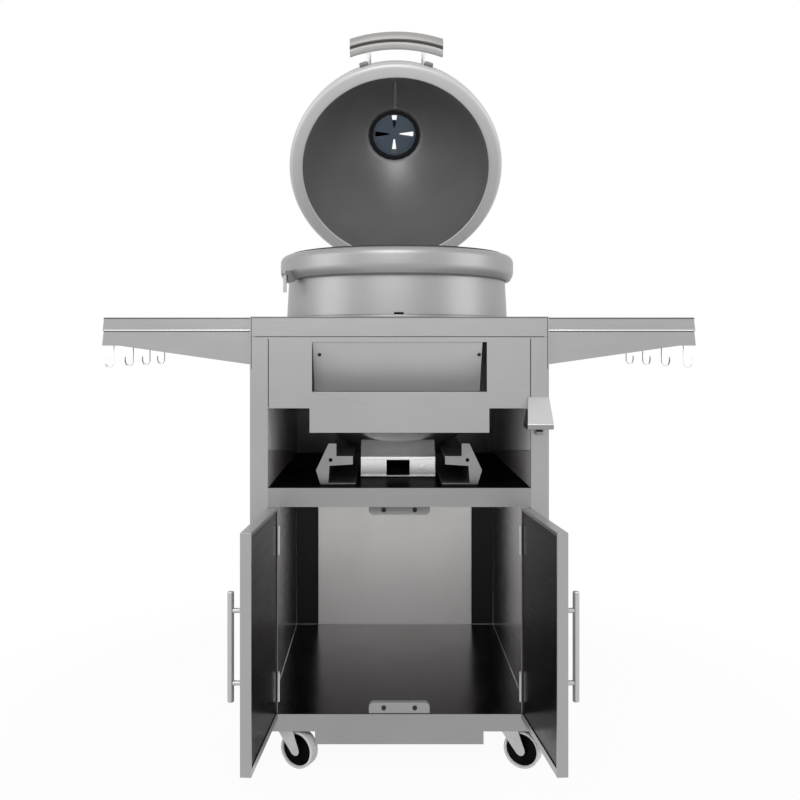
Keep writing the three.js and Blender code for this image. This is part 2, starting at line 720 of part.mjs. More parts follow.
// A door, built closed about its hinge axis and then swung open. X counts from the axis.
function addDoor(name, side) {
  const door = pivot(table, `${name}_door_pivot`, [side * PIVOT_X, DOOR_PIVOT_DEPTH, 0]);
  door.rotation.z = side * DOOR_OPEN_ANGLES[name];
  const inward = -side;
  const near = DOOR_SIDE_GAP / 2;
  const far = PIVOT_X - DOOR_MIDDLE_GAP / 2;
  const front = -DOOR_PIVOT_DEPTH;
  const back = front + DOOR_THICKNESS;
  const shell = cut(
    block([inward * near, inward * far], [front, back], [DOOR_BOTTOM, DOOR_TOP]),
    block(
      [inward * (near + SHEET), inward * (far - SHEET)],
      [front + SHEET, back - SHEET],
      [DOOR_BOTTOM + SHEET, DOOR_TOP - SHEET],
    ),
    block(
      [inward * (near + DOOR_LIP_SIDE), inward * (far - DOOR_LIP_SIDE)],
      [back - OVERRUN / 2, back + OVERRUN],
      [DOOR_BOTTOM + DOOR_LIP_BOTTOM, DOOR_TOP - DOOR_LIP_TOP],
    ),
  );
  place(door, `${name}_door`, shell, STEEL);

  const linerBack = back - SHEET - FIT;
  const liner = block(
    [inward * (near + SHEET + FIT), inward * (far - SHEET - FIT)],
    [linerBack - DOOR_LINER_SHEET, linerBack],
    [DOOR_BOTTOM + SHEET + FIT, DOOR_TOP - SHEET - FIT],
  );
  place(door, `${name}_door_liner`, liner, DARK_STEEL);

  const barX = inward * (far - HANDLE_EDGE_DISTANCE);
  const barY = front - HANDLE_STANDOFF;
  const low = HANDLE_CENTRE - HANDLE_LENGTH / 2;
  const high = HANDLE_CENTRE + HANDLE_LENGTH / 2;
  const profile = [
    [0, low],
    ...cornerArc([0, low + HANDLE_RADIUS], HANDLE_RADIUS, -60, 0, 3),
    ...cornerArc([0, high - HANDLE_RADIUS], HANDLE_RADIUS, 0, 60, 3),
    [0, high],
  ];
  const rod = turned(profile, 12).translate([barX, barY, 0]);
  const posts = [-1, 1].map((end) => {
    const z = HANDLE_CENTRE + (end * HANDLE_POST_SPACING) / 2;
    return bar(HANDLE_POST_RADIUS, [barX, barY, z], [barX, front - FIT, z], 10);
  });
  place(door, `${name}_door_handle`, joined(rod, ...posts), BRIGHT_METAL);

  for (const [level, height] of Object.entries(HINGE_HEIGHTS)) {
    place(door, `${name}_${level}_hinge_leaf`, movingLeaf(inward, near, back, height), BRIGHT_METAL);
  }
}

// The hinge leaf on the door's edge: it reaches round to the inner face
function movingLeaf(inward, near, back, height) {
  const outer = near - FIT;
  const inner = outer - HINGE_LEAF;
  const span = [height - HINGE_HEIGHT / 2, height + HINGE_HEIGHT / 2];
  const hookStart = back + FIT;
  const hookEnd = hookStart + HINGE_LEAF;
  const start = HINGE_LEAF_START - DOOR_PIVOT_DEPTH;
  const [low, high] = hingeThird(height, 1);
  return joined(
    block([inward * inner, inward * outer], [start, hookEnd], span),
    block([inward * inner, inward * (inner + HINGE_HOOK)], [hookStart, hookEnd], span),
    block([inward * inner, inward * outer], [0, hookEnd], [low, high]),
    bar(HINGE_KNUCKLE, [0, 0, low], [0, 0, high], 8),
  );
}

function addCatches() {
  const half = CATCH_WIDTH / 2;
  const depth = [CATCH_SETBACK, CATCH_SETBACK + CATCH_DEPTH];
  const floorTop = CABINET_FLOOR + FIT;
  const lower = [
    [-half, floorTop],
    [half, floorTop],
    ...cornerArc([half - CATCH_ROUND, floorTop + CATCH_HEIGHT - CATCH_ROUND], CATCH_ROUND, 0, 90, 4),
    ...cornerArc([CATCH_ROUND - half, floorTop + CATCH_HEIGHT - CATCH_ROUND], CATCH_ROUND, 90, 180, 4),
  ];
  place(table, 'lower_magnet_catch', alongY(lower, ...depth), PALE_PLASTIC);
  const ceiling = BAY_FLOOR - SHEET - FIT;
  const stem = BAY_FLOOR - MID_RAIL_HEIGHT - UPPER_CATCH_HEIGHT;
  const upper = [
    [half, ceiling],
    [-half, ceiling],
    ...cornerArc([CATCH_ROUND - half, stem + CATCH_ROUND], CATCH_ROUND, 180, 270, 4),
    ...cornerArc([half - CATCH_ROUND, stem + CATCH_ROUND], CATCH_ROUND, 270, 360, 4),
  ];
  place(table, 'upper_magnet_catch', alongY(upper, ...depth), PALE_PLASTIC);
}

// A hood on the right stile with a claw under it that lifts a crown cap
function addBottleOpener() {
  const right = HALF_WIDTH - FIT;
  const left = right - OPENER_WIDTH;
  const low = OPENER_TOP - OPENER_DROP;
  const face = -FIT;
  const hood = [
    [face, OPENER_TOP],
    [face - OPENER_WALL, OPENER_TOP],
    [face - OPENER_REACH, low],
    [face - OPENER_REACH, low - OPENER_LIP],
    [face, low - OPENER_LIP],
  ];
  const hollow = [
    [face - OPENER_WALL, OPENER_TOP - 2 * OPENER_WALL],
    [face + OPENER_WALL - OPENER_REACH, low - OPENER_WALL / 2],
    [face + OPENER_WALL - OPENER_REACH, low - OPENER_LIP - OVERRUN],
    [face - OPENER_WALL, low - OPENER_LIP - OVERRUN],
  ];
  const flareCut = [
    [left, OPENER_TOP],
    [left, OPENER_TOP + OVERRUN],
    [left - OPENER_FLARE - OVERRUN, OPENER_TOP + OVERRUN],
    [left - OPENER_FLARE - OVERRUN, low - OPENER_LIP - OVERRUN],
    [left - OPENER_FLARE, low - OPENER_LIP - OVERRUN],
    [left - OPENER_FLARE, low],
  ];
  const clawMiddle = (left + right) / 2;
  const claw = [
    [face, low],
    [face - OPENER_WALL, low],
    [face - OPENER_WALL, low - OPENER_LIP],
    [face - OPENER_REACH / 3, low - OPENER_LIP - OPENER_CLAW_DROP / 2],
    [face - OPENER_REACH / 3, low - OPENER_LIP - OPENER_CLAW_DROP],
    [face, low - OPENER_LIP - OPENER_CLAW_DROP],
  ];
  const opener = joined(
    cut(
      alongX(hood, left - OPENER_FLARE, right),
      alongX(hollow, left + OPENER_WALL, right - OPENER_WALL),
      alongY(flareCut, face - OPENER_REACH - OVERRUN, 0),
    ),
    alongX(claw, clawMiddle - OPENER_CLAW_WIDTH / 2, clawMiddle + OPENER_CLAW_WIDTH / 2),
  );
  place(table, 'bottle_opener', opener, STEEL);
}

function addShelf(name, side) {
  const end = SHELF_END;
  const edgeLow = SHELF_TOP - SHELF_EDGE;
  const flareAt = (drop) => (SHELF_END_FLARE * drop) / SHELF_BRACKET_OUTER_DROP;
  const facing = (outline) => (side < 0 ? mirrored(outline) : outline);
  const back = SHELF_FRONT + SHELF_DEPTH;
  const tray = [
    [SHELF_START, SHELF_TOP],
    [SHELF_START, edgeLow],
    [end + flareAt(SHELF_EDGE), edgeLow],
    [end, SHELF_TOP],
  ];
  const trayHollow = [
    [SHELF_START - OVERRUN, SHELF_TOP - SHEET],
    [SHELF_START - OVERRUN, edgeLow - OVERRUN],
    [end + flareAt(SHELF_EDGE + OVERRUN) - SHEET, edgeLow - OVERRUN],
    [end - SHEET, SHELF_TOP - SHEET],
  ];
  const top = cut(
    alongY(facing(tray), SHELF_FRONT, back),
    alongY(facing(trayHollow), SHELF_FRONT + SHEET, back - SHEET),
  );
  place(table, `${name}_shelf`, top, STEEL);

  const inset = SHEET + FIT;
  const bracketTop = SHELF_TOP - inset;
  const outerLow = SHELF_TOP - SHELF_BRACKET_OUTER_DROP;
  const innerLow = SHELF_TOP - SHELF_BRACKET_INNER_DROP;
  const outerEnd = end + SHELF_END_FLARE - inset;
  const skirt = [
    [SHELF_START, bracketTop],
    [SHELF_START, innerLow],
    [outerEnd - SHELF_BRACKET_FLAT, outerLow],
    [outerEnd, outerLow],
    [end - inset, bracketTop],
  ];
  const walls = [SHELF_FRONT + inset, back - inset];
  const hollow = [
    [SHELF_START + SHEET, bracketTop + OVERRUN],
    [SHELF_START + SHEET, innerLow - OVERRUN],
    [outerEnd - SHEET, innerLow - OVERRUN],
    [outerEnd - SHEET, outerLow],
    [end - inset - SHEET, bracketTop],
    [end - inset - SHEET, bracketTop + OVERRUN],
  ];
  const frame = cut(
    alongY(facing(skirt), ...walls),
    alongY(facing(hollow), walls[0] + SHEET, walls[1] - SHEET),
  );
  const flange = block(
    [side * (outerEnd - SHELF_BRACKET_FLAT), side * outerEnd],
    walls,
    [outerLow, outerLow + SHEET],
  );
  const hookX = side * (outerEnd - HOOK_SETBACK);
  const spacing = (SHELF_DEPTH - 2 * HOOK_INSET) / (HOOK_COUNT - 1);
  const hooks = Array.from({ length: HOOK_COUNT }, (_, i) => {
    const y = SHELF_FRONT + HOOK_INSET + i * spacing;
    return toolHook(side, hookX, y, outerLow);
  });
  place(table, `${name}_shelf_bracket`, joined(frame, flange, ...hooks), STEEL);
}

// A wire hook under the shelf's outer end, with its open side outwards
function toolHook(side, x, y, top) {
  const low = top - HOOK_LENGTH + HOOK_BEND;
  const bend = cornerArc([HOOK_BEND, low], HOOK_BEND, 180, 360, 4);
  const outline = [[0, top + HOOK_WIRE], ...bend, [2 * HOOK_BEND, low + HOOK_TIP]];
  const points = outline.map(([out, z]) => new THREE.Vector3(x + side * out, y, z));
  return swept(new THREE.CatmullRomCurve3(points, false, 'catmullrom', 0.2), HOOK_WIRE, 5, 8);
}

function addCaster(name, x, y, swivel) {
  const plateLow = PLATE_TOP - CASTER_PLATE;
  const crownTop = FORK_CROWN_HEIGHT + FORK_SHEET;
  const collarLow = crownTop + FIT;
  const plate = joined(
    block(
      [x - CASTER_PLATE_WIDTH / 2, x + CASTER_PLATE_WIDTH / 2],
      [y - CASTER_PLATE_DEPTH / 2, y + CASTER_PLATE_DEPTH / 2],
      [plateLow, PLATE_TOP],
    ),
    disc(CASTER_RACE_RADIUS, collarLow, plateLow + FIT, 16).translate([x, y, 0]),
    disc(KINGPIN_RADIUS, FORK_CROWN_HEIGHT - FORK_SHEET, collarLow + FIT, 12).translate([x, y, 0]),
  );
  place(table, `${name}_caster_plate`, plate, GREY_METAL);

  const turning = pivot(table, `${name}_swivel_pivot`, [x, y, 0]);
  turning.rotation.z = swivel;
  const armInner = WHEEL_WIDTH / 2 + FORK_GAP;
  const armOuter = armInner + FORK_SHEET;
  const arm = [
    [-FORK_ARM_REACH, FORK_CROWN_HEIGHT + FORK_SHEET / 2],
    [-FORK_ARM_REACH, FORK_CROWN_HEIGHT - FORK_SHEET],
    ...cornerArc([FORK_TRAIL, WHEEL_RADIUS], FORK_ARM_RADIUS, ...FORK_ARM_ARC, 4),
    [FORK_ARM_REACH, FORK_CROWN_HEIGHT + FORK_SHEET / 2],
  ];
  const crown = cut(
    disc(FORK_CROWN_RADIUS, FORK_CROWN_HEIGHT, crownTop, 16),
    disc(KINGPIN_RADIUS + FIT, 0, TABLE_HEIGHT, 12),
  );
  const crownSides = [-1, 1].map((hand) =>
    cut(
      alongY(arm, ...[hand * armInner, hand * armOuter].sort((a, b) => a - b)),
      disc(KINGPIN_RADIUS + FIT, 0, TABLE_HEIGHT, 12),
    ),
  );
  const axle = bar(AXLE_RADIUS, [FORK_TRAIL, -armOuter, WHEEL_RADIUS], [FORK_TRAIL, armOuter, WHEEL_RADIUS]);
  place(turning, `${name}_caster_fork`, joined(crown, ...crownSides, axle), BRIGHT_METAL);

  const rolling = pivot(turning, `${name}_wheel_pivot`, [FORK_TRAIL, 0, WHEEL_RADIUS]);
  const half = WHEEL_WIDTH / 2;
  const web = half - WHEEL_WEB_INSET;
  const rimInner = WHEEL_RADIUS - 3 * WHEEL_CROWN;
  const bore = AXLE_RADIUS + AXLE_CLEARANCE;
  const side = [
    [WHEEL_RADIUS, half / 3],
    [WHEEL_RADIUS - WHEEL_CROWN, half],
    [rimInner, half],
    [rimInner - WHEEL_CROWN, web],
    [WHEEL_HUB_RADIUS, web],
    [WHEEL_HUB_RADIUS, half],
    [bore, half],
  ];
  const profile = [
    ...side.slice().reverse().map(([radius, width]) => [radius, -width]),
    ...side,
    [bore, -half],
  ];
  const wheel = turned(profile, 18).rotate([90, 0, 0]);
  place(rolling, `${name}_caster_wheel`, wheel, RUBBER);
}

function addBowl() {
  const seat = RIM_HEIGHT - GRATE_SEAT;
  const start = [BOWL_INLET_RADIUS, BOWL_BASE];
  const profile = [
    start,
    ...bowlOuterProfile(0, BOWL_STEPS),
    ...bandProfile(0, 4),
    [RIM_RADIUS, RIM_HEIGHT],
    [RIM_RADIUS, seat],
    [BOWL_INNER_RADIUS, seat],
    ...bowlInnerArc(),
    start,
  ];
  place(table, 'kamado_bowl', atKamado(turned(profile)), CAST_METAL);

  const gasketLow = RIM_HEIGHT + FIT;
  const gasketInner = RIM_RADIUS + FIT;
  const gasket = ring(gasketInner, gasketInner + GASKET_WIDTH, gasketLow, gasketLow + GASKET_THICKNESS);
  place(table, 'rim_gasket', atKamado(gasket), FELT);

  const trimInner = BOWL_RADIUS + FIT;
  const trimLow = TABLE_HEIGHT + FIT;
  const trimTop = trimLow + TRIM_HEIGHT;
  place(table, 'trim_ring', atKamado(ring(trimInner, trimInner + TRIM_WIDTH, trimLow, trimTop)), STEEL);

  const padFront = KAMADO_Y - trimInner - TRIM_WIDTH / 2;
  const pad = block(
    [-PAD_WIDTH / 2, PAD_WIDTH / 2],
    [padFront, padFront + PAD_DEPTH],
    [trimTop + FIT, trimTop + FIT + PAD_HEIGHT],
  );
  place(table, 'front_pad', pad, RUBBER);
}

// A round grate: parallel bars and two cross bars inside a ring
function grate(radius, low, thickness, barWidth, barCount) {
  const rim = ring(radius - GRATE_RING_WIDTH, radius, low, low + thickness);
  const inside = disc(radius - GRATE_RING_WIDTH / 2, low, low + thickness);
  const pitch = (2 * radius) / (barCount + 1);
  const bars = Array.from({ length: barCount }, (_, i) => {
    const x = (i + 1) * pitch - radius;
    return block([x - barWidth / 2, x + barWidth / 2], [-radius, radius], [low, low + thickness]);
  });
  const crossings = [-1, 1].map((hand) => {
    const y = (hand * radius) / 2;
    return block([-radius, radius], [y - barWidth / 2, y + barWidth / 2], [low, low + thickness]);
  });
  return joined(rim, joined(...bars, ...crossings).intersect(inside));
}

function addGrates() {
  const seat = RIM_HEIGHT - GRATE_SEAT + FIT;
  const cooking = grate(RIM_RADIUS - GRATE_CLEARANCE, seat, GRATE_BAR, GRATE_BAR, GRATE_BAR_COUNT);
  place(table, 'cooking_grate', atKamado(cooking), GRATE_STEEL);
  const [ledge, ledgeHeight] = bowlInnerArc()[BOWL_STEPS / 2];
  const charcoal = grate(
    ledge - GRATE_CLEARANCE,
    ledgeHeight + FIT,
    CHARCOAL_GRATE_THICKNESS,
    CHARCOAL_BAR,
    CHARCOAL_BAR_COUNT,
  );
  place(table, 'charcoal_grate', atKamado(charcoal), BLACK_METAL);
}

// The air duct under the bowl, with a sliding shutter between two lips on its front
function addLowerVent() {
  const half = VENT_WIDTH / 2;
  const low = BAY_FLOOR + FIT;
  const slopeTop = low + VENT_HEIGHT + VENT_SLOPE_RISE;
  const outline = [
    [VENT_FRONT, low],
    [VENT_FRONT, low + VENT_HEIGHT],
    [VENT_FRONT + VENT_SLOPE_DEPTH, slopeTop],
    [VENT_FRONT + VENT_DEPTH, slopeTop],
    [VENT_FRONT + VENT_DEPTH, low],
  ];
  const duct = block(
    [VENT_WALL - half, half - VENT_WALL],
    [VENT_FRONT + VENT_WALL, VENT_FRONT + VENT_DEPTH - VENT_WALL],
    [low + VENT_WALL, low + VENT_HEIGHT - VENT_WALL],
  );
  const openingLow = low + VENT_OPENING_LOW;
  const mouth = block(
    [-VENT_OPENING_WIDTH / 2, VENT_OPENING_WIDTH / 2],
    [VENT_FRONT - OVERRUN, VENT_FRONT + OVERRUN],
    [openingLow, openingLow + VENT_OPENING_HEIGHT],
  );
  const shaft = atKamado(disc(BOWL_INLET_RADIUS, low + VENT_HEIGHT - OVERRUN, slopeTop + OVERRUN, 32));
  const lipFront = VENT_FRONT - VENT_LIP;
  const slideLow = openingLow + FIT;
  const slideHigh = openingLow + VENT_OPENING_HEIGHT - FIT;
  const keeper = VENT_FRONT - 2 * FIT - SLIDE_SHEET - VENT_LIP_SHEET;
  const lips = [
    block([-half, half], [lipFront, VENT_FRONT], [slideLow - FIT - VENT_LIP_SHEET, slideLow - FIT]),
    block([-half, half], [lipFront, VENT_FRONT], [slideHigh + FIT, slideHigh + FIT + VENT_LIP_SHEET]),
    block([-half, half], [lipFront, keeper], [slideLow - FIT, slideLow + VENT_LIP_SHEET]),
    block([-half, half], [lipFront, keeper], [slideHigh - VENT_LIP_SHEET, slideHigh + FIT]),
  ];
  const housing = joined(
    cut(alongX(outline, -half, half), bowlClearance, duct, mouth, shaft),
    ...lips,
  );
  place(table, 'vent_housing', housing, BRIGHT_METAL);

  const slideRest = VENT_OPENING_WIDTH / 2;
  const sliding = pivot(table, 'vent_slide_pivot', [slideRest, VENT_FRONT - FIT, slideLow]);
  const knobX = SLIDE_WIDTH / 2;
  const knobZ = (slideHigh - slideLow) / 2;
  const plate = joined(
    block([0, SLIDE_WIDTH], [-SLIDE_SHEET, 0], [0, slideHigh - slideLow]),
    bar(SLIDE_KNOB, [knobX, 0, knobZ], [knobX, -SLIDE_SHEET - VENT_LIP, knobZ], 16),
  );
  place(sliding, 'vent_slide', plate, BRIGHT_METAL);
}

// A rail beside the vent whose ledge carries the bowl from below
function addCradleRail(name, side) {
  const low = BAY_FLOOR + FIT;
  const end = 2 * KAMADO_Y - CRADLE_START;
  const facing = (outline) => (side < 0 ? mirrored(outline) : outline);
  const up = ([x, z]) => [x, low + z];
  const [ledgeEnd, ledgeTop] = CRADLE_LEDGE;
  const [shoulderX, shoulderTop] = CRADLE_SHOULDER;
  const finInner = shoulderX - CRADLE_FIN_WIDTH;
  const frontPlate = [
    [CRADLE_FOOT, low],
    up(CRADLE_ELBOW),
    up(CRADLE_SHOULDER),
    up([finInner, shoulderTop]),
    up([finInner, ledgeTop]),
    up(CRADLE_LEDGE),
    up([ledgeEnd, ledgeTop - CRADLE_LEDGE_HEIGHT]),
    up(CRADLE_WAIST),
    [CRADLE_WEB, low],
  ];
  const webOuter = CRADLE_WEB + CRADLE_SHEET;
  const ledgeLow = low + ledgeTop - CRADLE_SHEET;
  const hole = [CRADLE_HOLE[0] * side, low + CRADLE_HOLE[1]];
  const rail = joined(
    alongY(facing(frontPlate), CRADLE_START, CRADLE_START + CRADLE_SHEET),
    block([side * ledgeEnd, side * webOuter], [CRADLE_START, end], [ledgeLow, low + ledgeTop]),
    block([side * CRADLE_WEB, side * webOuter], [CRADLE_START, end], [low, low + ledgeTop]),
    block([side * CRADLE_BASE, side * CRADLE_FOOT], [CRADLE_START, end], [low, low + CRADLE_SHEET]),
  );
  const bolt = bar(CRADLE_HOLE_RADIUS, [hole[0], 0, hole[1]], [hole[0], CRADLE_START + OVERRUN, hole[1]]);
  place(table, `${name}_cradle_rail`, cut(rail, bowlClearance, bolt), BRIGHT_METAL);
}

// Points of the lid's curve, up to the flat top
function domeProfile(radius, topHeight, steps, startHeight) {
  const power = 2 / LID_ROUNDNESS_SHARE;
  const stop = Math.acos((LID_FLAT_RADIUS / radius) ** (1 / power));
  const height = topHeight / Math.sin(stop) ** power;
  const start = Math.asin((startHeight / height) ** (1 / power));
  const points = [];
  for (let i = 0; i <= steps; i += 1) {
    const angle = start + ((stop - start) * i) / steps;
    points.push([radius * Math.cos(angle) ** power, height * Math.sin(angle) ** power]);
  }
  return points;
}

// A place on the lid's outer curve and the direction in which it faces, at a given rise
function domePoint(rise) {
  const power = 2 / LID_ROUNDNESS_SHARE;
  const stop = Math.acos((LID_FLAT_RADIUS / LID_RADIUS) ** (1 / power));
  const height = LID_OUTER_HEIGHT / Math.sin(stop) ** power;
  const angle = Math.asin((rise / height) ** (1 / power));
  const radius = LID_RADIUS * Math.cos(angle) ** power;
  const exponent = LID_ROUNDNESS_SHARE - 1;
  const slopeR = (radius / LID_RADIUS) ** exponent / LID_RADIUS;
  const slopeZ = (rise / height) ** exponent / height;
  return { radius, tilt: Math.atan2(slopeZ, slopeR) };
}

// The space inside the lid's outer surface, grown by the fit
function lidSpace() {
  const dome = domeProfile(LID_RADIUS, LID_OUTER_HEIGHT, DOME_STEPS, LID_EDGE_ROUND);
  const side = dome.map(([radius, height]) => [radius + FIT, height]);
  return turned([[0, 0], [LID_RADIUS + FIT, 0], ...side, [0, LID_OUTER_HEIGHT]]);
}

const lidPivot = pivot(table, 'lid_pivot', [0, LID_HINGE_Y, LID_HINGE_Z]);
lidPivot.rotation.x = -LID_OPEN_ANGLE;
// Inside this group, Z is the lid's own axis and counts from its rim
const lid = pivot(lidPivot, 'lid_axis', [0, KAMADO_Y - LID_HINGE_Y, LID_RIM - LID_HINGE_Z]);

// Turns a solid that faces +X about the gauge's place, so that it stands square on the lid's front
function onLidFront(solid, { radius, tilt }, rise) {
  const turnedSolid = solid.rotate([0, -THREE.MathUtils.radToDeg(tilt), 0]).translate([radius, 0, rise]);
  return turnedSolid.rotate([0, 0, -90]);
}

function addLid() {
  const start = [RIM_RADIUS, 0];
  const edge = cornerArc([LID_RADIUS - LID_EDGE_ROUND, LID_EDGE_ROUND], LID_EDGE_ROUND, -90, -20, 3);
  const bore = COLLAR_RADIUS + FIT;
  const profile = [
    start,
    ...edge,
    ...domeProfile(LID_RADIUS, LID_OUTER_HEIGHT, DOME_STEPS, LID_EDGE_ROUND),
    [bore, LID_OUTER_HEIGHT],
    [bore, LID_INNER_HEIGHT],
    ...domeProfile(RIM_RADIUS, LID_INNER_HEIGHT, DOME_STEPS, 0).reverse(),
  ];
  const gauge = domePoint(GAUGE_RISE);
  const stemBore = GAUGE_STEM_RADIUS + GAUGE_STEM_CLEARANCE;
  const seatRadius = GAUGE_RADIUS + FIT;
  const stemHole = bar(stemBore, [-LID_RADIUS / 2, 0, 0], [OVERRUN, 0, 0]);
  const flat = bar(seatRadius, [-GAUGE_RECESS, 0, 0], [OVERRUN, 0, 0], 32);
  const shell = cut(
    turned(profile),
    onLidFront(stemHole, gauge, GAUGE_RISE),
    onLidFront(flat, gauge, GAUGE_RISE),
  );
  place(lid, 'kamado_lid', shell, CAST_METAL);
}

function addLidHandle() {
  const half = GRIP_LENGTH / 2;
  const centreY = GRIP_ARC_RADIUS - GRIP_DISTANCE;
  const sweep = Math.asin((half + GRIP_RADIUS / 2) / GRIP_ARC_RADIUS);
  const steps = 8;
  const points = [];
  for (let i = 0; i <= steps; i += 1) {
    const angle = sweep * ((2 * i) / steps - 1);
    const x = GRIP_ARC_RADIUS * Math.sin(angle);
    points.push(new THREE.Vector3(x, centreY - GRIP_ARC_RADIUS * Math.cos(angle), GRIP_RISE));
  }
  const section = new THREE.Shape(
    roundedRectangle([-GRIP_RADIUS, GRIP_RADIUS], [-GRIP_RADIUS, GRIP_RADIUS], GRIP_ROUND, 2).map(
      ([u, v]) => new THREE.Vector2(u, v),
    ),
  );
  const path = new THREE.CatmullRomCurve3(points);
  const trims = [-1, 1].map((side) =>
    block(
      [side * half, side * (half + GRIP_RADIUS + OVERRUN)],
      [-GRIP_DISTANCE - GRIP_RADIUS - OVERRUN, 0],
      [GRIP_RISE - GRIP_RADIUS - OVERRUN, GRIP_RISE + GRIP_RADIUS + OVERRUN],
    ),
  );
  const grip = cut(solidFrom(new THREE.ExtrudeGeometry(section, { steps, extrudePath: path })), ...trims);
  const standing = [-1, 1].map((side) => {
    const x = side * GRIP_POST_X;
    const gripY = centreY - Math.sqrt(GRIP_ARC_RADIUS ** 2 - GRIP_POST_X ** 2);
    const lidY = -Math.sqrt(LID_RADIUS ** 2 - GRIP_POST_X ** 2);
    const padX = x + (side * (GRIP_PAD_WIDTH - 2 * GRIP_POST_RADIUS)) / 2;
    return joined(
      bar(GRIP_POST_RADIUS, [x, gripY, GRIP_RISE], [x, lidY + GRIP_PAD_THICKNESS, GRIP_RISE]),
      block(
        [padX - GRIP_PAD_WIDTH / 2, padX + GRIP_PAD_WIDTH / 2],
        [lidY - GRIP_PAD_THICKNESS, lidY + OVERRUN],
        [GRIP_RISE - GRIP_PAD_HEIGHT / 2, GRIP_RISE + GRIP_PAD_HEIGHT / 2],
      ),
    );
  });
  place(lid, 'lid_handle', cut(joined(grip, ...standing), lidSpace()), GREY_METAL);
}

function addLidHinge() {
  const half = HINGE_BARREL_WIDTH / 2;
  const earInner = half + HINGE_SIDE_GAP;
  const earOuter = earInner + HINGE_EAR;
  const bore = HINGE_PIN_RADIUS + HINGE_PIN_CLEARANCE;
  const axis = (radius, reach) =>
    bar(radius, [-reach, LID_HINGE_Y, LID_HINGE_Z], [reach, LID_HINGE_Y, LID_HINGE_Z], 24);
  const back = LID_HINGE_Y + HINGE_BARREL_RADIUS;
  const ears = [-1, 1].map((side) => {
    const span = [side * earInner, side * earOuter];
    const eye = bar(
      HINGE_BARREL_RADIUS,
      [span[0], LID_HINGE_Y, LID_HINGE_Z],
      [span[1], LID_HINGE_Y, LID_HINGE_Z],
      24,
    );
    const neck = block(span, [LID_HINGE_Y - HINGE_BARREL_RADIUS, back], [HINGE_BASE_BOTTOM, LID_HINGE_Z]);
    return joined(eye, neck);
  });
  const baseTop = HINGE_BASE_BOTTOM + HINGE_BASE_HEIGHT;
  const foot = block([-earOuter, earOuter], [KAMADO_Y, back], [HINGE_BASE_BOTTOM, baseTop]);
  const base = cut(joined(foot, ...ears), bowlClearance, axis(bore, HALF_WIDTH));
  place(table, 'lid_hinge_base', base, GREY_METAL);
  place(table, 'lid_hinge_pin', axis(HINGE_PIN_RADIUS, earOuter + HINGE_PIN_RADIUS), BRIGHT_METAL);

  // The arm is built in the lid's own frame, where the pin lies below and behind the rim
  const pinY = LID_HINGE_Y - KAMADO_Y;
  const pinZ = LID_HINGE_Z - LID_RIM;
  const outline = [
    [pinY - HINGE_BARREL_RADIUS, pinZ],
    [pinY + HINGE_BARREL_RADIUS, pinZ],
    [pinY + HINGE_BARREL_RADIUS, HINGE_ARM_PAD_LOW],
    [LID_RADIUS + HINGE_ARM_THICKNESS, HINGE_ARM_PAD_HIGH],
    [LID_RADIUS / 2, HINGE_ARM_PAD_HIGH],
    [LID_RADIUS / 2, HINGE_ARM_PAD_LOW],
    [LID_RADIUS + FIT, HINGE_ARM_PAD_LOW],
  ];
  const barrel = bar(HINGE_BARREL_RADIUS, [-half, pinY, pinZ], [half, pinY, pinZ], 24);
  const pinHole = bar(bore, [-HALF_WIDTH, pinY, pinZ], [HALF_WIDTH, pinY, pinZ], 24);
  const arm = cut(joined(alongX(outline, -half, half), barrel), lidSpace(), pinHole);
  place(lid, 'lid_hinge_arm', arm, GREY_METAL);
}

// A sector between two radii, centred on an angle
function sector(inner, outer, middle, spread, low, high) {
  const steps = 3;
  const arc = (radius, from, to) =>
    Array.from({ length: steps + 1 }, (_, i) => {
      const angle = middle + from + ((to - from) * i) / steps;
      return [radius * Math.cos(angle), radius * Math.sin(angle)];
    });
  const half = spread / 2;
  return alongZ([...arc(outer, -half, half), ...arc(inner, half, -half)], low, high);
}

function damperSlots(low, high) {
  return Array.from({ length: DAMPER_SLOTS }, (_, i) => {
    const middle = (i * 2 * Math.PI) / DAMPER_SLOTS;
    return sector(DAMPER_HUB_RADIUS, DAMPER_SLOT_OUTER, middle, DAMPER_SLOT_ANGLE, low, high);
  });
}

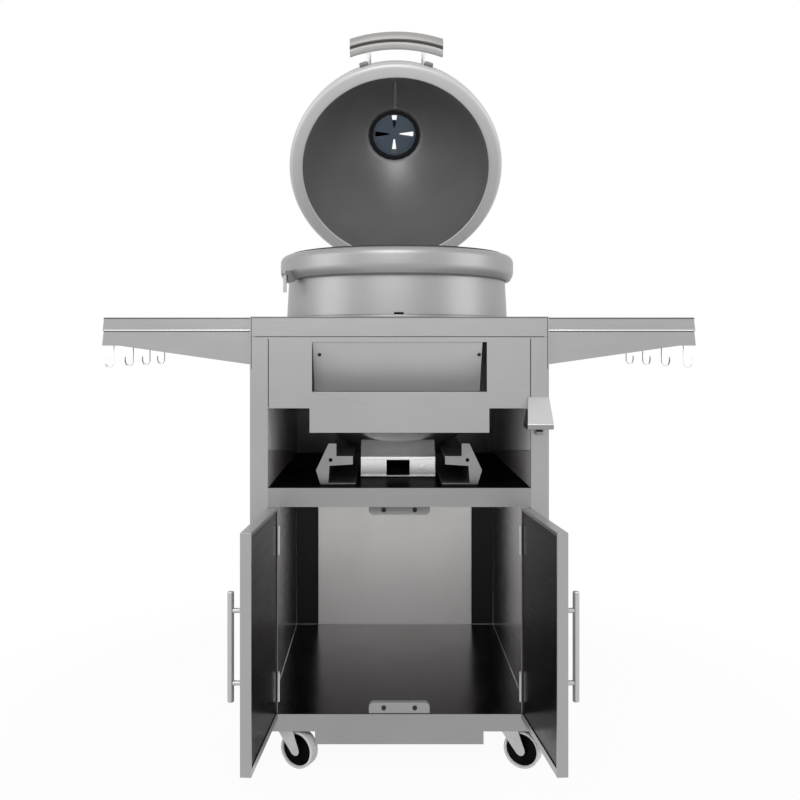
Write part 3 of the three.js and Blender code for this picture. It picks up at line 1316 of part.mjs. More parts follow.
function addTopVent() {
  const inner = COLLAR_RADIUS - COLLAR_WALL;
  const flangeTop = LID_INNER_HEIGHT - FIT;
  const flangeLow = flangeTop - COLLAR_FLANGE;
  const brimLow = LID_OUTER_HEIGHT + FIT;
  const plateLow = flangeLow + DAMPER_RECESS;
  const plateTop = plateLow + DAMPER_SHEET;
  const collar = cut(
    joined(
      ring(inner, COLLAR_RADIUS, flangeLow, COLLAR_TOP, COLLAR_SIDES),
      ring(inner, COLLAR_FLANGE_RADIUS, flangeLow, flangeTop, COLLAR_SIDES),
      ring(inner, COLLAR_BRIM_RADIUS, brimLow, brimLow + COLLAR_BRIM, COLLAR_SIDES),
      disc(inner + COLLAR_WALL / 2, plateLow, plateTop, COLLAR_SIDES),
    ),
    ...damperSlots(plateLow - OVERRUN, plateTop + OVERRUN),
  );
  place(lid, 'vent_collar', collar, BLACK_METAL);

  const damper = pivot(lid, 'vent_damper_pivot', [0, 0, plateTop + FIT]);
  const rise = COLLAR_TOP + DAMPER_KNOB_GAP - plateTop - FIT;
  // The plate turns inside the collar's flat-sided bore
  const plateRadius = inner * Math.cos(Math.PI / COLLAR_SIDES) - FIT;
  const plate = cut(disc(plateRadius, 0, DAMPER_SHEET, COLLAR_SIDES), ...damperSlots(-OVERRUN, OVERRUN));
  const knob = turned(
    [
      [0, rise],
      [DAMPER_KNOB_RADIUS, rise],
      [DAMPER_KNOB_RADIUS, rise + DAMPER_KNOB / 2],
      [DAMPER_KNOB_RADIUS / 2, rise + DAMPER_KNOB],
      [0, rise + DAMPER_KNOB],
    ],
    24,
  );
  const stem = disc(DAMPER_STEM_RADIUS, 0, rise + DAMPER_KNOB / 2, 16);
  place(damper, 'vent_damper', joined(plate, stem, knob), SLATE_METAL);
}

function addThermometer() {
  const gauge = domePoint(GAUGE_RISE);
  const seat = FIT - GAUGE_RECESS;
  const face = seat + GAUGE_DEPTH;
  const recess = bar(GAUGE_RADIUS - GAUGE_RIM, [face - GAUGE_RECESS, 0, 0], [face + OVERRUN, 0, 0], 32);
  const body = cut(bar(GAUGE_RADIUS, [seat, 0, 0], [face, 0, 0], 32), recess);
  const probe = bar(GAUGE_STEM_RADIUS, [seat - GAUGE_PROBE_LENGTH, 0, 0], [seat + FIT, 0, 0], 12);
  place(lid, 'thermometer', onLidFront(joined(body, probe), gauge, GAUGE_RISE), BRIGHT_METAL);

  // The needle turns about the gauge's own axis, which is the group's Z
  const needleX = face - GAUGE_RECESS + FIT;
  const out = gauge.radius + needleX * Math.cos(gauge.tilt);
  const needle = pivot(lid, 'needle_pivot', [0, -out, GAUGE_RISE + needleX * Math.sin(gauge.tilt)]);
  needle.rotation.set(Math.PI / 2 - gauge.tilt, 0, NEEDLE_REST);
  const pointer = [
    [-NEEDLE_WIDTH / 2, -NEEDLE_HUB_RADIUS * 2],
    [NEEDLE_WIDTH / 2, -NEEDLE_HUB_RADIUS * 2],
    [NEEDLE_WIDTH / 4, NEEDLE_LENGTH],
    [-NEEDLE_WIDTH / 4, NEEDLE_LENGTH],
  ];
  const solid = joined(
    alongZ(pointer, 0, NEEDLE_THICKNESS),
    disc(NEEDLE_HUB_RADIUS, 0, 2 * NEEDLE_THICKNESS, 16),
  );
  place(needle, 'thermometer_needle', solid, NEEDLE_RED);
}

// A small hasp on the bowl's left side. Inside its group, -Y points straight out of the band.
function addLatch() {
  const azimuth = pivot(table, 'latch_azimuth', [0, KAMADO_Y, 0]);
  azimuth.rotation.z = LATCH_AZIMUTH;
  const half = LATCH_WIDTH / 2;
  const out = -BAND_RADIUS - LATCH_DEPTH;
  const pinY = out - LATCH_EAR_DEPTH / 2;
  const pinZ = BAND_LOW + LATCH_HEIGHT - LATCH_EAR_DEPTH / 2;
  const earLow = pinZ - LATCH_EAR_DEPTH;
  const ears = [-1, 1].map((side) =>
    block(
      [side * half, side * (half - LATCH_EAR)],
      [out - LATCH_EAR_DEPTH, out + LATCH_DEPTH / 2],
      [earLow, BAND_LOW + LATCH_HEIGHT],
    ),
  );
  const base = joined(
    block([-half, half], [out, LATCH_DEPTH - BAND_RADIUS], [BAND_LOW, BAND_LOW + LATCH_HEIGHT]),
    bar(LATCH_PIN_RADIUS, [LATCH_EAR - half - FIT, pinY, pinZ], [half - LATCH_EAR + FIT, pinY, pinZ], 12),
    ...ears,
  );
  const bowlHere = bowlSpace(FIT).rotate([0, 0, -THREE.MathUtils.radToDeg(LATCH_AZIMUTH)]);
  place(azimuth, 'latch_base', cut(base, bowlHere), GREY_METAL);

  const swing = pivot(azimuth, 'latch_pivot', [0, pinY, pinZ]);
  const reach = half - LATCH_EAR - FIT;
  const lever = cut(
    joined(
      bar(LATCH_EYE_RADIUS - FIT, [-reach, 0, 0], [reach, 0, 0], 16),
      block([-reach, reach], [-LATCH_LEVER_SHEET / 2, LATCH_LEVER_SHEET / 2], [-LATCH_LEVER_LENGTH, 0]),
    ),
    bar(LATCH_PIN_RADIUS + FIT, [-LATCH_WIDTH, 0, 0], [LATCH_WIDTH, 0, 0], 12),
  );
  place(swing, 'latch_lever', lever, BRIGHT_METAL);
}

addCabinet();
addSide('left', -1);
addSide('right', 1);
addDoor('left', -1);
addDoor('right', 1);
addCatches();
addBottleOpener();
addShelf('left', -1);
addShelf('right', 1);
addCaster('front_left', -CASTER_X, CASTER_EDGE, FRONT_SWIVEL);
addCaster('front_right', CASTER_X, CASTER_EDGE, FRONT_SWIVEL);
addCaster('rear_left', -CASTER_X, CABINET_DEPTH - CASTER_EDGE, REAR_SWIVEL);
addCaster('rear_right', CASTER_X, CABINET_DEPTH - CASTER_EDGE, REAR_SWIVEL);
addBowl();
addGrates();
addLowerVent();
addCradleRail('left', -1);
addCradleRail('right', 1);
addLid();
addLidHandle();
addLidHinge();
addTopVent();
addThermometer();
addLatch();

// The part's origin is under the middle of its box
const extent = new THREE.Box3().setFromObject(table, true);
const middle = extent.getCenter(new THREE.Vector3());
table.position.set(-middle.x, -middle.y, -extent.min.z);

const group = new THREE.Group();
group.add(table);

export default group;
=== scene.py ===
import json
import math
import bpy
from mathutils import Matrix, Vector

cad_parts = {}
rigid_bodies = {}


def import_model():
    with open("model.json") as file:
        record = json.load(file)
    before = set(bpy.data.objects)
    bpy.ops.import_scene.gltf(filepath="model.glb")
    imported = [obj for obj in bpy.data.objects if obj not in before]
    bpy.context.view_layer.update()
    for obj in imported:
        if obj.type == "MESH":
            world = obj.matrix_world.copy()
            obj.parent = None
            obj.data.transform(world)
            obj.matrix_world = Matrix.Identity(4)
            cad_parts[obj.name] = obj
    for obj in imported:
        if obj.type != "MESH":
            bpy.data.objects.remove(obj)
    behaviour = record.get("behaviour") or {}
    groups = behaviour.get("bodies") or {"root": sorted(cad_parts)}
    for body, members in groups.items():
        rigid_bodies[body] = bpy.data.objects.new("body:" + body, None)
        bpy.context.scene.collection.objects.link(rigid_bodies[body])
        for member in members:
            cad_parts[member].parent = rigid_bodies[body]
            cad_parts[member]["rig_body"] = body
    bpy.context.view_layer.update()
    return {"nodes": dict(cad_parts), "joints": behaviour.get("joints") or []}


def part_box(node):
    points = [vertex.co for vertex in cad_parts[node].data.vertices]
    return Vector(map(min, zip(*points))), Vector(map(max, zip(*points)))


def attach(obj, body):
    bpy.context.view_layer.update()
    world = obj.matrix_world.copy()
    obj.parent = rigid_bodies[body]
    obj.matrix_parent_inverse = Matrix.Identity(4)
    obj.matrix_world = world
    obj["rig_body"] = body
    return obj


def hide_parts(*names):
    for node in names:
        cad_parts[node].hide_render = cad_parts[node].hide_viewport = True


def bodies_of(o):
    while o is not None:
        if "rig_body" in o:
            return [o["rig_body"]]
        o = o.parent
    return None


bl_info = {
    "name": "Kamado Grill Table",
    "version": (1, 0, 0),
    "blender": (4, 5, 0),
    "location": "View3D > Sidebar > Grill Table",
    "description": "Dresses the packed grill table with its steel sheets, casting, casters and fittings",
    "category": "Object",
}

import bmesh
import bpy
from bpy.props import FloatProperty, FloatVectorProperty, IntProperty, PointerProperty
from bpy.types import Operator, Panel, PropertyGroup
from mathutils import Matrix, Vector

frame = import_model()
JOINTS = {joint["name"]: joint for joint in frame["joints"]}

MM = 0.001
CASTERS = ("front_left", "front_right", "rear_left", "rear_right")
SIDES = (("left", -1), ("right", 1))


def low(node):
    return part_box(node)[0]


def high(node):
    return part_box(node)[1]


def middle(node):
    return (low(node) + high(node)) / 2


# Places that the frame gives
FRONT = low("worktop").y
REAR = high("worktop").y
TABLE_TOP = high("worktop").z
BOWL_AXIS = Vector((0, middle("kamado_bowl").y, 0))
DAMPER_HEIGHT = 304 * MM  # from the lid's rim to the pivot of the damper
LID_DIRECTION = Vector(JOINTS["vent_damper_turn"]["axis"]).normalized()
LID_CENTRE = Vector(JOINTS["vent_damper_turn"]["pos_m"]) - LID_DIRECTION * DAMPER_HEIGHT


def colour_setting(name, about, default):
    return FloatVectorProperty(name=name, description=about, subtype="COLOR", size=3, min=0, max=1,
                               default=default)


def length_setting(name, about, default, least, most):
    return FloatProperty(name=name, description=about, unit="LENGTH", default=default, min=least, max=most)


def power_setting(name, about, default):
    return FloatProperty(name=name, description=about, unit="POWER", default=default, min=0, max=500)


class GrillSteel(PropertyGroup):
    sheet: colour_setting("Satin sheet", "Colour of the outer panels", (0.385, 0.385, 0.383))
    mirror: colour_setting("Inner sheet", "Colour of the smooth sheets inside the cabinet",
                           (0.12, 0.106, 0.113))
    liner: colour_setting("Liner", "Colour of the liners beside the kamado and the cupboard",
                          (0.85, 0.83, 0.83))
    # The back wall's colour paints the light on the panel's inner side
    wall: colour_setting("Back wall", "Colour of the back panel's inner side", (0.88, 0.872, 0.857))
    shield: colour_setting("Heat shield", "Colour of the plate behind the window", (0.56, 0.557, 0.56))
    bright: colour_setting("Bright steel", "Colour of the handles and small fittings", (0.50, 0.495, 0.50))
    polished: colour_setting("Polished steel", "Colour of the hooks, the hinges and the lower vent",
                             (0.90, 0.90, 0.895))
    edge: length_setting("Sheet edge", "Radius along the edges of the folded sheets", 0.0005, 0.0001, 0.002)
    grain: length_setting("Grain pitch", "Distance between the brushing lines of the satin sheet", 0.0012,
                          0.0002, 0.01)


class GrillCasting(PropertyGroup):
    coat: colour_setting("Coat", "Colour of the kamado's outside", (0.338, 0.338, 0.338))
    inside: colour_setting("Inside", "Colour of the kamado's inside", (0.34, 0.335, 0.34))
    rim: colour_setting("Rim", "Colour of the lid's flat rim", (0.60, 0.60, 0.605))
    facets: IntProperty(name="Facets", description="Sides of the large turned shells", min=24, max=256,
                        default=128)
    rim_round: length_setting("Rim rounding", "Radius at the inner edge of the lid's rim", 0.003, 0.001,
                              0.014)


class GrillFittings(PropertyGroup):
    grip: colour_setting("Grip", "Colour of the lid handle", (0.36, 0.35, 0.34))
    damper: colour_setting("Damper", "Colour of the top vent's turning disc", (0.075, 0.10, 0.135))
    plate: colour_setting("Vent plate", "Colour of the fixed plate under the damper", (0.24, 0.31, 0.39))
    iron: colour_setting("Black iron", "Colour of the vent collar and the charcoal grate",
                         (0.012, 0.012, 0.014))
    tyre: colour_setting("Tyre", "Colour of the caster tyres", (0.82, 0.82, 0.81))
    core: colour_setting("Wheel core", "Colour of the wheel cores and the pad", (0.006, 0.006, 0.006))
    plastic: colour_setting("Plastic", "Colour of the magnetic catches", (0.42, 0.42, 0.415))
    screw: length_setting("Screw head", "Radius of the common screw head", 0.0036, 0.001, 0.01)


class GrillStudio(PropertyGroup):
    distance: length_setting("Camera distance", "From the camera to the cabinet's front", 1.87, 0.5, 10)
    height: length_setting("Camera height", "From the ground to the camera", 0.855, 0, 3)
    aside: length_setting("Camera offset", "From the table's middle to the camera, towards the right",
                          -0.036, -1, 1)
    lens: FloatProperty(name="Lens", description="Focal length on a 36 mm sensor, in millimetres",
                        min=10, max=200, default=41.94)
    key: power_setting("Key lamp", "Power of the lamp in front and above", 34)
    fill: power_setting("Fill lamps", "Power of each lamp at the sides", 12)
    air: FloatProperty(name="Room light", description="Strength of the even light from all round",
                       min=0, max=2, default=0.62)


# Meshes


def linked(name, mesh):
    obj = bpy.data.objects.new(name, mesh)
    bpy.context.scene.collection.objects.link(obj)
    return obj


def shaded(obj, angle=35):
    """Smooth shading that breaks at edges sharper than the angle, in degrees."""
    obj.data.shade_smooth()
    obj.data.set_sharp_from_angle(angle=math.radians(angle))
    return obj


def made(name, bm, angle=35):
    mesh = bpy.data.meshes.new(name)
    bm.to_mesh(mesh)
    bm.free()
    return shaded(linked(name, mesh), angle)


def from_bmesh(name, bm, angle=35):
    bmesh.ops.recalc_face_normals(bm, faces=bm.faces)
    return made(name, bm, angle)


def joined(name, parts):
    """One object from several closed pieces."""
    bm = bmesh.new()
    for part in parts:
        part.data.transform(part.matrix_world)
        bm.from_mesh(part.data)
        bpy.data.objects.remove(part)
    return made(name, bm)


def basis(origin, x_axis, y_axis, z_axis):
    matrix = Matrix((x_axis, y_axis, z_axis)).transposed().to_4x4()
    matrix.translation = origin
    return matrix


def facing(origin, direction):
    """A matrix whose Z axis lies along the direction."""
    z_axis = Vector(direction).normalized()
    upright = abs(z_axis.z) > 0.95
    x_axis = Vector((0, 1, 0) if upright else (0, 0, 1)).cross(z_axis).normalized()
    return basis(Vector(origin), x_axis, z_axis.cross(x_axis), z_axis)


def rounded(points, radii, steps=5, closed=True):
    """An outline whose corners are arcs, with one radius for each corner."""
    result = []
    count = len(points)
    for i, point in enumerate(points):
        here = Vector(point)
        inner = closed or 0 < i < count - 1
        if radii[i] <= 0 or not inner:
            result.append(tuple(here))
            continue
        before = Vector(points[i - 1]) - here
        after = Vector(points[(i + 1) % count]) - here
        half = before.angle(after) / 2
        reach = min(radii[i] / math.tan(half), before.length * 0.49, after.length * 0.49)
        size = reach * math.tan(half)
        centre = here + (before.normalized() + after.normalized()).normalized() * (size / math.sin(half))
        start = here + before.normalized() * reach - centre
        end = here + after.normalized() * reach - centre
        for step in range(steps + 1):
            result.append(tuple(centre + start.lerp(end, step / steps).normalized() * size))
    return result


def lathe(name, profile, place, sides, angle=35):
    """A shell turned about Z from [radius, height] points, which end on the axis or close."""
    bm = bmesh.new()
    rings = []
    for radius, height in profile:
        if radius < 1e-7:
            rings.append([bm.verts.new((0, 0, height))])
            continue
        ring = []
        for i in range(sides):
            turn = 2 * math.pi * i / sides
            ring.append(bm.verts.new((radius * math.cos(turn), radius * math.sin(turn), height)))
        rings.append(ring)
    open_ended = len(rings[0]) == 1 and len(rings[-1]) == 1
    pairs = list(zip(rings, rings[1:]))
    if not open_ended:
        pairs.append((rings[-1], rings[0]))
    for first, second in pairs:
        for i in range(sides):
            j = (i + 1) % sides
            corners = [first[i % len(first)], first[j % len(first)],
                       second[j % len(second)], second[i % len(second)]]
            unique = list(dict.fromkeys(corners))
            if len(unique) > 2:
                bm.faces.new(unique)
    bmesh.ops.transform(bm, matrix=place, verts=bm.verts)
    return from_bmesh(name, bm, angle)


def prism(name, outline, start, end, place=None, edge=0.0):
    """A flat outline of [u, v] points, extruded along Z between two heights."""
    bm = bmesh.new()
    rings = [[bm.verts.new((u, v, height)) for u, v in outline] for height in (start, end)]
    count = len(outline)
    for i in range(count):
        j = (i + 1) % count
        bm.faces.new((rings[0][i], rings[0][j], rings[1][j], rings[1][i]))
    bm.faces.new(rings[0])
    bm.faces.new(rings[1])
    bmesh.ops.transform(bm, matrix=place or Matrix.Identity(4), verts=bm.verts)
    obj = from_bmesh(name, bm)
    if edge:
        eased(obj, edge)
    return obj


def eased(obj, width, angle=40):
    """Rounds the sharp edges of a closed mesh for good."""
    bpy.context.view_layer.update()
    modifier = obj.modifiers.new("ease", "BEVEL")
    modifier.width = width
    modifier.segments = 2
    modifier.limit_method = "ANGLE"
    modifier.angle_limit = math.radians(angle)
    modifier.use_clamp_overlap = True
    modifier.miter_outer = "MITER_ARC"
    settle(obj)
    shaded(obj, 60)
    weighted = obj.modifiers.new("weigh", "WEIGHTED_NORMAL")
    weighted.mode = "FACE_AREA"
    weighted.weight = 100
    weighted.keep_sharp = True
    settle(obj)
    return obj


def settle(obj):
    """Applies the modifiers of an object."""
    graph = bpy.context.evaluated_depsgraph_get()
    mesh = bpy.data.meshes.new_from_object(obj.evaluated_get(graph), depsgraph=graph)
    mesh.name = obj.name
    obj.modifiers.clear()
    obj.data = mesh
    return obj


def brick(name, corner, opposite, edge=0.0):
    """A box between two corners with rounded edges."""
    bm = bmesh.new()
    bmesh.ops.create_cube(bm, size=1)
    span = Vector(opposite) - Vector(corner)
    centre = (Vector(opposite) + Vector(corner)) / 2
    scale = Matrix.Diagonal((abs(span.x), abs(span.y), abs(span.z), 1))
    bmesh.ops.transform(bm, matrix=Matrix.Translation(centre) @ scale, verts=bm.verts)
    if edge:
        bmesh.ops.bevel(bm, geom=list(bm.edges), offset=edge, segments=3, affect="EDGES", profile=0.5)
    return from_bmesh(name, bm, 30)


def sweep(name, path, section, up=(0, 0, 1)):
    """A closed section of [u, v] points carried along a path, with flat ends."""
    bm = bmesh.new()
    points = [Vector(point) for point in path]
    side = None
    rings = []
    for i, point in enumerate(points):
        ahead = points[min(i + 1, len(points) - 1)] - points[max(i - 1, 0)]
        ahead.normalize()
        if side is None:
            side = Vector(up).cross(ahead)
            if side.length < 1e-4:
                side = Vector((0, 1, 0)).cross(ahead)
        side = (side - ahead * side.dot(ahead)).normalized()
        lift = ahead.cross(side)
        rings.append([bm.verts.new(point + side * u + lift * v) for u, v in section])
    count = len(section)
    for first, second in zip(rings, rings[1:]):
        for i in range(count):
            j = (i + 1) % count
            bm.faces.new((first[i], first[j], second[j], second[i]))
    bm.faces.new(rings[0])
    bm.faces.new(rings[-1])
    return from_bmesh(name, bm, 50)


def circle(radius, sides):
    return [(radius * math.cos(2 * math.pi * i / sides), radius * math.sin(2 * math.pi * i / sides))
            for i in range(sides)]


def arc_points(centre, radius, start, end, steps):
    """Points [u, v] on an arc, with the angles in degrees."""
    result = []
    for i in range(steps + 1):
        turn = math.radians(start + (end - start) * i / steps)
        result.append((centre[0] + radius * math.cos(turn), centre[1] + radius * math.sin(turn)))
    return result


def node_mesh(node):
    """A welded copy of a CAD node's mesh, without the edges that cross its flat faces."""
    bm = bmesh.new()
    bm.from_mesh(frame["nodes"][node].data)
    bmesh.ops.remove_doubles(bm, verts=bm.verts, dist=0.02 * MM)
    bmesh.ops.dissolve_limit(bm, angle_limit=math.radians(0.6), verts=bm.verts, edges=bm.edges)
    return bm


# Finishes


class Wiring:
    """Adds and joins the nodes of a material or a world."""

    def __init__(self, owner):
        owner.use_nodes = True
        self.nodes = owner.node_tree.nodes
        self.links = owner.node_tree.links

    def put(self, node, values):
        """Sets inputs to a number or a colour, or joins them to another node's output."""
        for key, value in values.items():
            if isinstance(value, bpy.types.NodeSocket):
                self.links.new(value, node.inputs[key])
            else:
                node.inputs[key].default_value = value
        return node

    def add(self, kind, values=None, operation=None):
        node = self.nodes.new(f"ShaderNode{kind}")
        if operation:
            node.operation = operation
        return self.put(node, values or {})

    def greatest(self, first, *others):
        """The largest of several outputs."""
        for other in others:
            first = self.add("Math", {0: first, 1: other}, "MAXIMUM").outputs[0]
        return first


NOISE_LOW, NOISE_HIGH = 0.3, 0.7  # between these the noise takes nearly all its values


def surface(name, colour, metallic, roughness, grain, tint, spread, bump=0.0, depth=0.0002, cloud=0.03,
            cloud_size=6.0, glancing=1.0):
    """A finish with fine grain in its colour, roughness and height, and broad soft clouding."""
    if name in bpy.data.materials:
        return bpy.data.materials[name]
    material = bpy.data.materials.new(name)
    graph = Wiring(material)
    place = graph.add("TexCoord").outputs["Object"]
    stretch = graph.add("Mapping", {"Scale": grain, "Vector": place}).outputs["Vector"]
    small = {"Scale": 1.0, "Detail": 4.0, "Roughness": 0.6, "Vector": stretch}
    fine = graph.add("TexNoise", small).outputs[0]
    broad = graph.add("TexNoise", {"Scale": cloud_size, "Detail": 3.0, "Vector": place}).outputs[0]
    mix = graph.nodes.new("ShaderNodeMix")
    mix.data_type = "RGBA"
    darker = (*[channel * (1 - tint) for channel in colour], 1)
    lighter = (*[min(channel * (1 + tint), 1) for channel in colour], 1)
    graph.put(mix, {0: fine, 6: darker, 7: lighter})
    noise_range = {"From Min": NOISE_LOW, "From Max": NOISE_HIGH}
    veil = graph.add("MapRange", {**noise_range, "To Min": 1 - cloud, "To Max": 1 + cloud, "Value": broad})
    shade = graph.add("VectorMath", {0: mix.outputs[2], "Scale": veil.outputs["Result"]}, "SCALE")
    rough = graph.add("MapRange", {**noise_range, "To Min": max(roughness - spread, 0.02),
                                   "To Max": min(roughness + spread, 1), "Value": fine})
    shader = graph.put(graph.nodes["Principled BSDF"], {
        "Metallic": metallic, "Specular Tint": (glancing, glancing, glancing, 1),
        "Base Color": shade.outputs["Vector"], "Roughness": rough.outputs["Result"]})
    if bump:
        relief = graph.add("Bump", {"Strength": bump, "Distance": depth, "Height": fine})
        graph.put(shader, {"Normal": relief.outputs["Normal"]})
    return material


def satin(axis, shade=1.0):
    """Brushed sheet whose lines run along an axis; a shade below one makes a darker copy, the painted shade
    of the rail facings.
    """
    steel = bpy.context.scene.grill_steel
    across = 1 / steel.grain
    grain = tuple(across * 0.012 if name == axis else across for name in "xyz")
    colour = [channel * shade for channel in steel.sheet]
    name = f"satin_steel_{axis}" if shade == 1 else f"rail_steel_{axis}"
    return surface(name, colour, 1.0, 0.34, grain, 0.05, 0.05, 0.05, 0.00005)


def even(pitch):
    """Grain of the same size along X, Y and Z."""
    return (pitch, pitch, pitch)


# Grain along X, Y and Z, and relief
ROLLED = (9, 9, 240)
DRAWN = (14, 14, 600)
PRESSED = (14, 14, 700)
TURNED = (700, 700, 2600)
FOLDED = (300, 300, 900)
FAINT = {"bump": 0.02, "depth": 0.00003}
POLISH = {"bump": 0.02, "depth": 0.00002}
PAINT = {"bump": 0.04, "depth": 0.0001}
COATED = {"bump": 0.1, "depth": 0.0001}
CAST = {"bump": 0.12, "depth": 0.0001}

# Each finish: its colour, or the setting that gives it, how metallic and how rough it is, its grain, and
# how much the grain changes its colour and its roughness. The last entry holds what else differs.
FINISHES = {
    "inner_sheet": ("steel.mirror", 1.0, 0.22, ROLLED, 0.06, 0.04, {"cloud": 0.06}),
    # The bay floor and the door liners take a share of the inner sheet's colour: darker copies that paint the
    # shade under the kamado and on the doors' inner faces
    "bay_floor_sheet": ("steel.mirror", 1.0, 0.3, ROLLED, 0.06, 0.04,
                        {"share": 0.5, "cloud": 0.06, "glancing": 0.1}),
    "door_liner_sheet": ("steel.mirror", 1.0, 0.22, ROLLED, 0.06, 0.04,
                         {"share": 0.28, "cloud": 0.06, "glancing": 0.7}),
    "liner_sheet": ("steel.liner", 1.0, 0.2, DRAWN, 0.05, 0.04, {**FAINT, "cloud": 0.05}),
    # The plate behind the kamado: a darker steel that paints the bay's shade
    "bay_backing": ((0.52, 0.52, 0.54), 1.0, 0.42, DRAWN, 0.1, 0.05, {"cloud": 0.1}),
    # Painted light on the back panel's inner side
    "wall_sheet": ("steel.wall", 1.0, 0.46, PRESSED, 0.04, 0.04, {**FAINT, "cloud": 0.04}),
    "shield_sheet": ("steel.shield", 0.1, 0.46, PRESSED, 0.04, 0.04, {**FAINT, "cloud": 0.04}),
    # The bay's side plates: painted light above the sloping line and painted shade below it
    "upper_side_plate": ((0.88, 0.87, 0.865), 0.0, 0.4, DRAWN, 0.04, 0.04, {**FAINT, "cloud": 0.04}),
    "lower_side_plate": ((0.50, 0.47, 0.475), 0.0, 0.4, DRAWN, 0.04, 0.04, {**FAINT, "cloud": 0.04}),
    "bright_steel": ("steel.bright", 1.0, 0.3, TURNED, 0.025, 0.03, {**POLISH, "cloud": 0.02}),
    # Polished steel of the hinges, the hooks and the lower vent; also the painted highlight along the
    # shelves' hems
    "polished_steel": ("steel.polished", 1.0, 0.26, TURNED, 0.02, 0.03, {**POLISH, "cloud": 0.02}),
    "opener_steel": ((0.58, 0.58, 0.585), 1.0, 0.3, TURNED, 0.02, 0.03, POLISH),
    # Dark joints between the sheets, and painted shade along the top edges of the worktop and the shelves
    "seam_steel": ((0.07, 0.07, 0.072), 1.0, 0.45, FOLDED, 0.05, 0.05, {}),
    # Dark steel of the trim ring and the cradle rails, also used as painted shade on the sheets' top edges
    # and the opener's lip
    "bracket_steel": ((0.27, 0.27, 0.275), 1.0, 0.36, FOLDED, 0.05, 0.05,
                      {"bump": 0.04, "depth": 0.00005, "cloud": 0.08, "cloud_size": 16}),
    "fork_steel": ((0.46, 0.46, 0.455), 1.0, 0.34, (500, 500, 900), 0.05, 0.06,
                   {"bump": 0.05, "depth": 0.00004, "cloud": 0.08, "cloud_size": 30}),
    "grate_steel": ((0.27, 0.26, 0.25), 1.0, 0.35, (120, 900, 120), 0.12, 0.08,
                    {**COATED, "cloud": 0.12, "cloud_size": 14}),
    "probe_steel": ((0.50, 0.46, 0.46), 0.8, 0.4, even(500), 0.1, 0.08, COATED),
    "cast_coat": ("casting.coat", 0.75, 0.4, even(520), 0.05, 0.06, CAST),
    "cast_inside": ("casting.inside", 0.7, 0.42, even(420), 0.05, 0.05,
                    {**CAST, "cloud": 0.06, "cloud_size": 7}),
    "rim_coat": ("casting.rim", 0.25, 0.42, even(520), 0.03, 0.05, {"bump": 0.08, "depth": 0.0001}),
    "grey_casting": ((0.26, 0.26, 0.255), 0.7, 0.42, even(600), 0.08, 0.06, {"bump": 0.15, "depth": 0.0001}),
    "grip_coat": ("fittings.grip", 0.3, 0.45, even(700), 0.05, 0.06, COATED),
    # A dark copy of the grip's colour painting the shade in its groove, and a light copy painting light on
    # its underside
    "grip_seam": ((0.10, 0.097, 0.092), 0.3, 0.45, even(700), 0.05, 0.06, COATED),
    "grip_underside": ((0.72, 0.71, 0.70), 0.3, 0.45, even(700), 0.04, 0.06, COATED),
    "slate_coat": ("fittings.damper", 0.5, 0.38, even(380), 0.15, 0.08, {"bump": 0.2}),
    "plate_coat": ("fittings.plate", 0.5, 0.38, even(380), 0.15, 0.08, {"bump": 0.2}),
    # Black iron of the collar, the grate, the magnets and a screw; also painted shade on the corner posts and
    # inside the lower vent's duct
    "black_iron": ("fittings.iron", 0.3, 0.5, even(420), 0.25, 0.1, {"bump": 0.35, "depth": 0.0003}),
    "pressed_felt": ((0.05, 0.05, 0.052), 0.0, 0.95, even(1400), 0.35, 0.05,
                     {"bump": 0.7, "depth": 0.0005, "cloud": 0.1, "cloud_size": 30}),
    "tyre_rubber": ("fittings.tyre", 0.0, 0.5, even(500), 0.06, 0.1,
                    {"bump": 0.15, "cloud": 0.08, "cloud_size": 40}),
    "core_rubber": ("fittings.core", 1.0, 0.55, even(500), 0.3, 0.12,
                    {"bump": 0.2, "cloud": 0.2, "cloud_size": 40, "glancing": 0.1}),
    "catch_plastic": ("fittings.plastic", 0.0, 0.45, even(900), 0.03, 0.06, {"bump": 0.08, "depth": 0.0001}),
    "needle_paint": ((0.36, 0.02, 0.014), 0.0, 0.4, even(500), 0.08, 0.06, {"bump": 0.05, "depth": 0.0001}),
    "dial_paint": ((0.78, 0.78, 0.76), 0.0, 0.5, even(700), 0.02, 0.05, PAINT),
    "dial_ink": ((0.01, 0.01, 0.01), 0.0, 0.5, even(700), 0.1, 0.05, PAINT),
}


def finish(name):
    """A finish from the table, made when it is first used."""
    colour, metallic, roughness, grain, tint, spread, more = FINISHES[name]
    if isinstance(colour, str):
        group, setting = colour.split(".")
        colour = getattr(getattr(bpy.context.scene, f"grill_{group}"), setting)
    options = dict(more)
    share = options.pop("share", 1)
    colour = [channel * share for channel in colour]
    return surface(name, colour, metallic, roughness, grain, tint, spread, **options)


def dressed(obj, body, slot, material, *nodes):
    """Gives a piece its finish, its body and the CAD nodes that it stands for, which it hides; the slot is
    not used.
    """
    obj.data.materials.clear()
    obj.data.materials.append(material)
    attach(obj, body)
    if nodes:
        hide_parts(*nodes)
    return obj


def body_of(node):
    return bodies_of(frame["nodes"][node])[0]


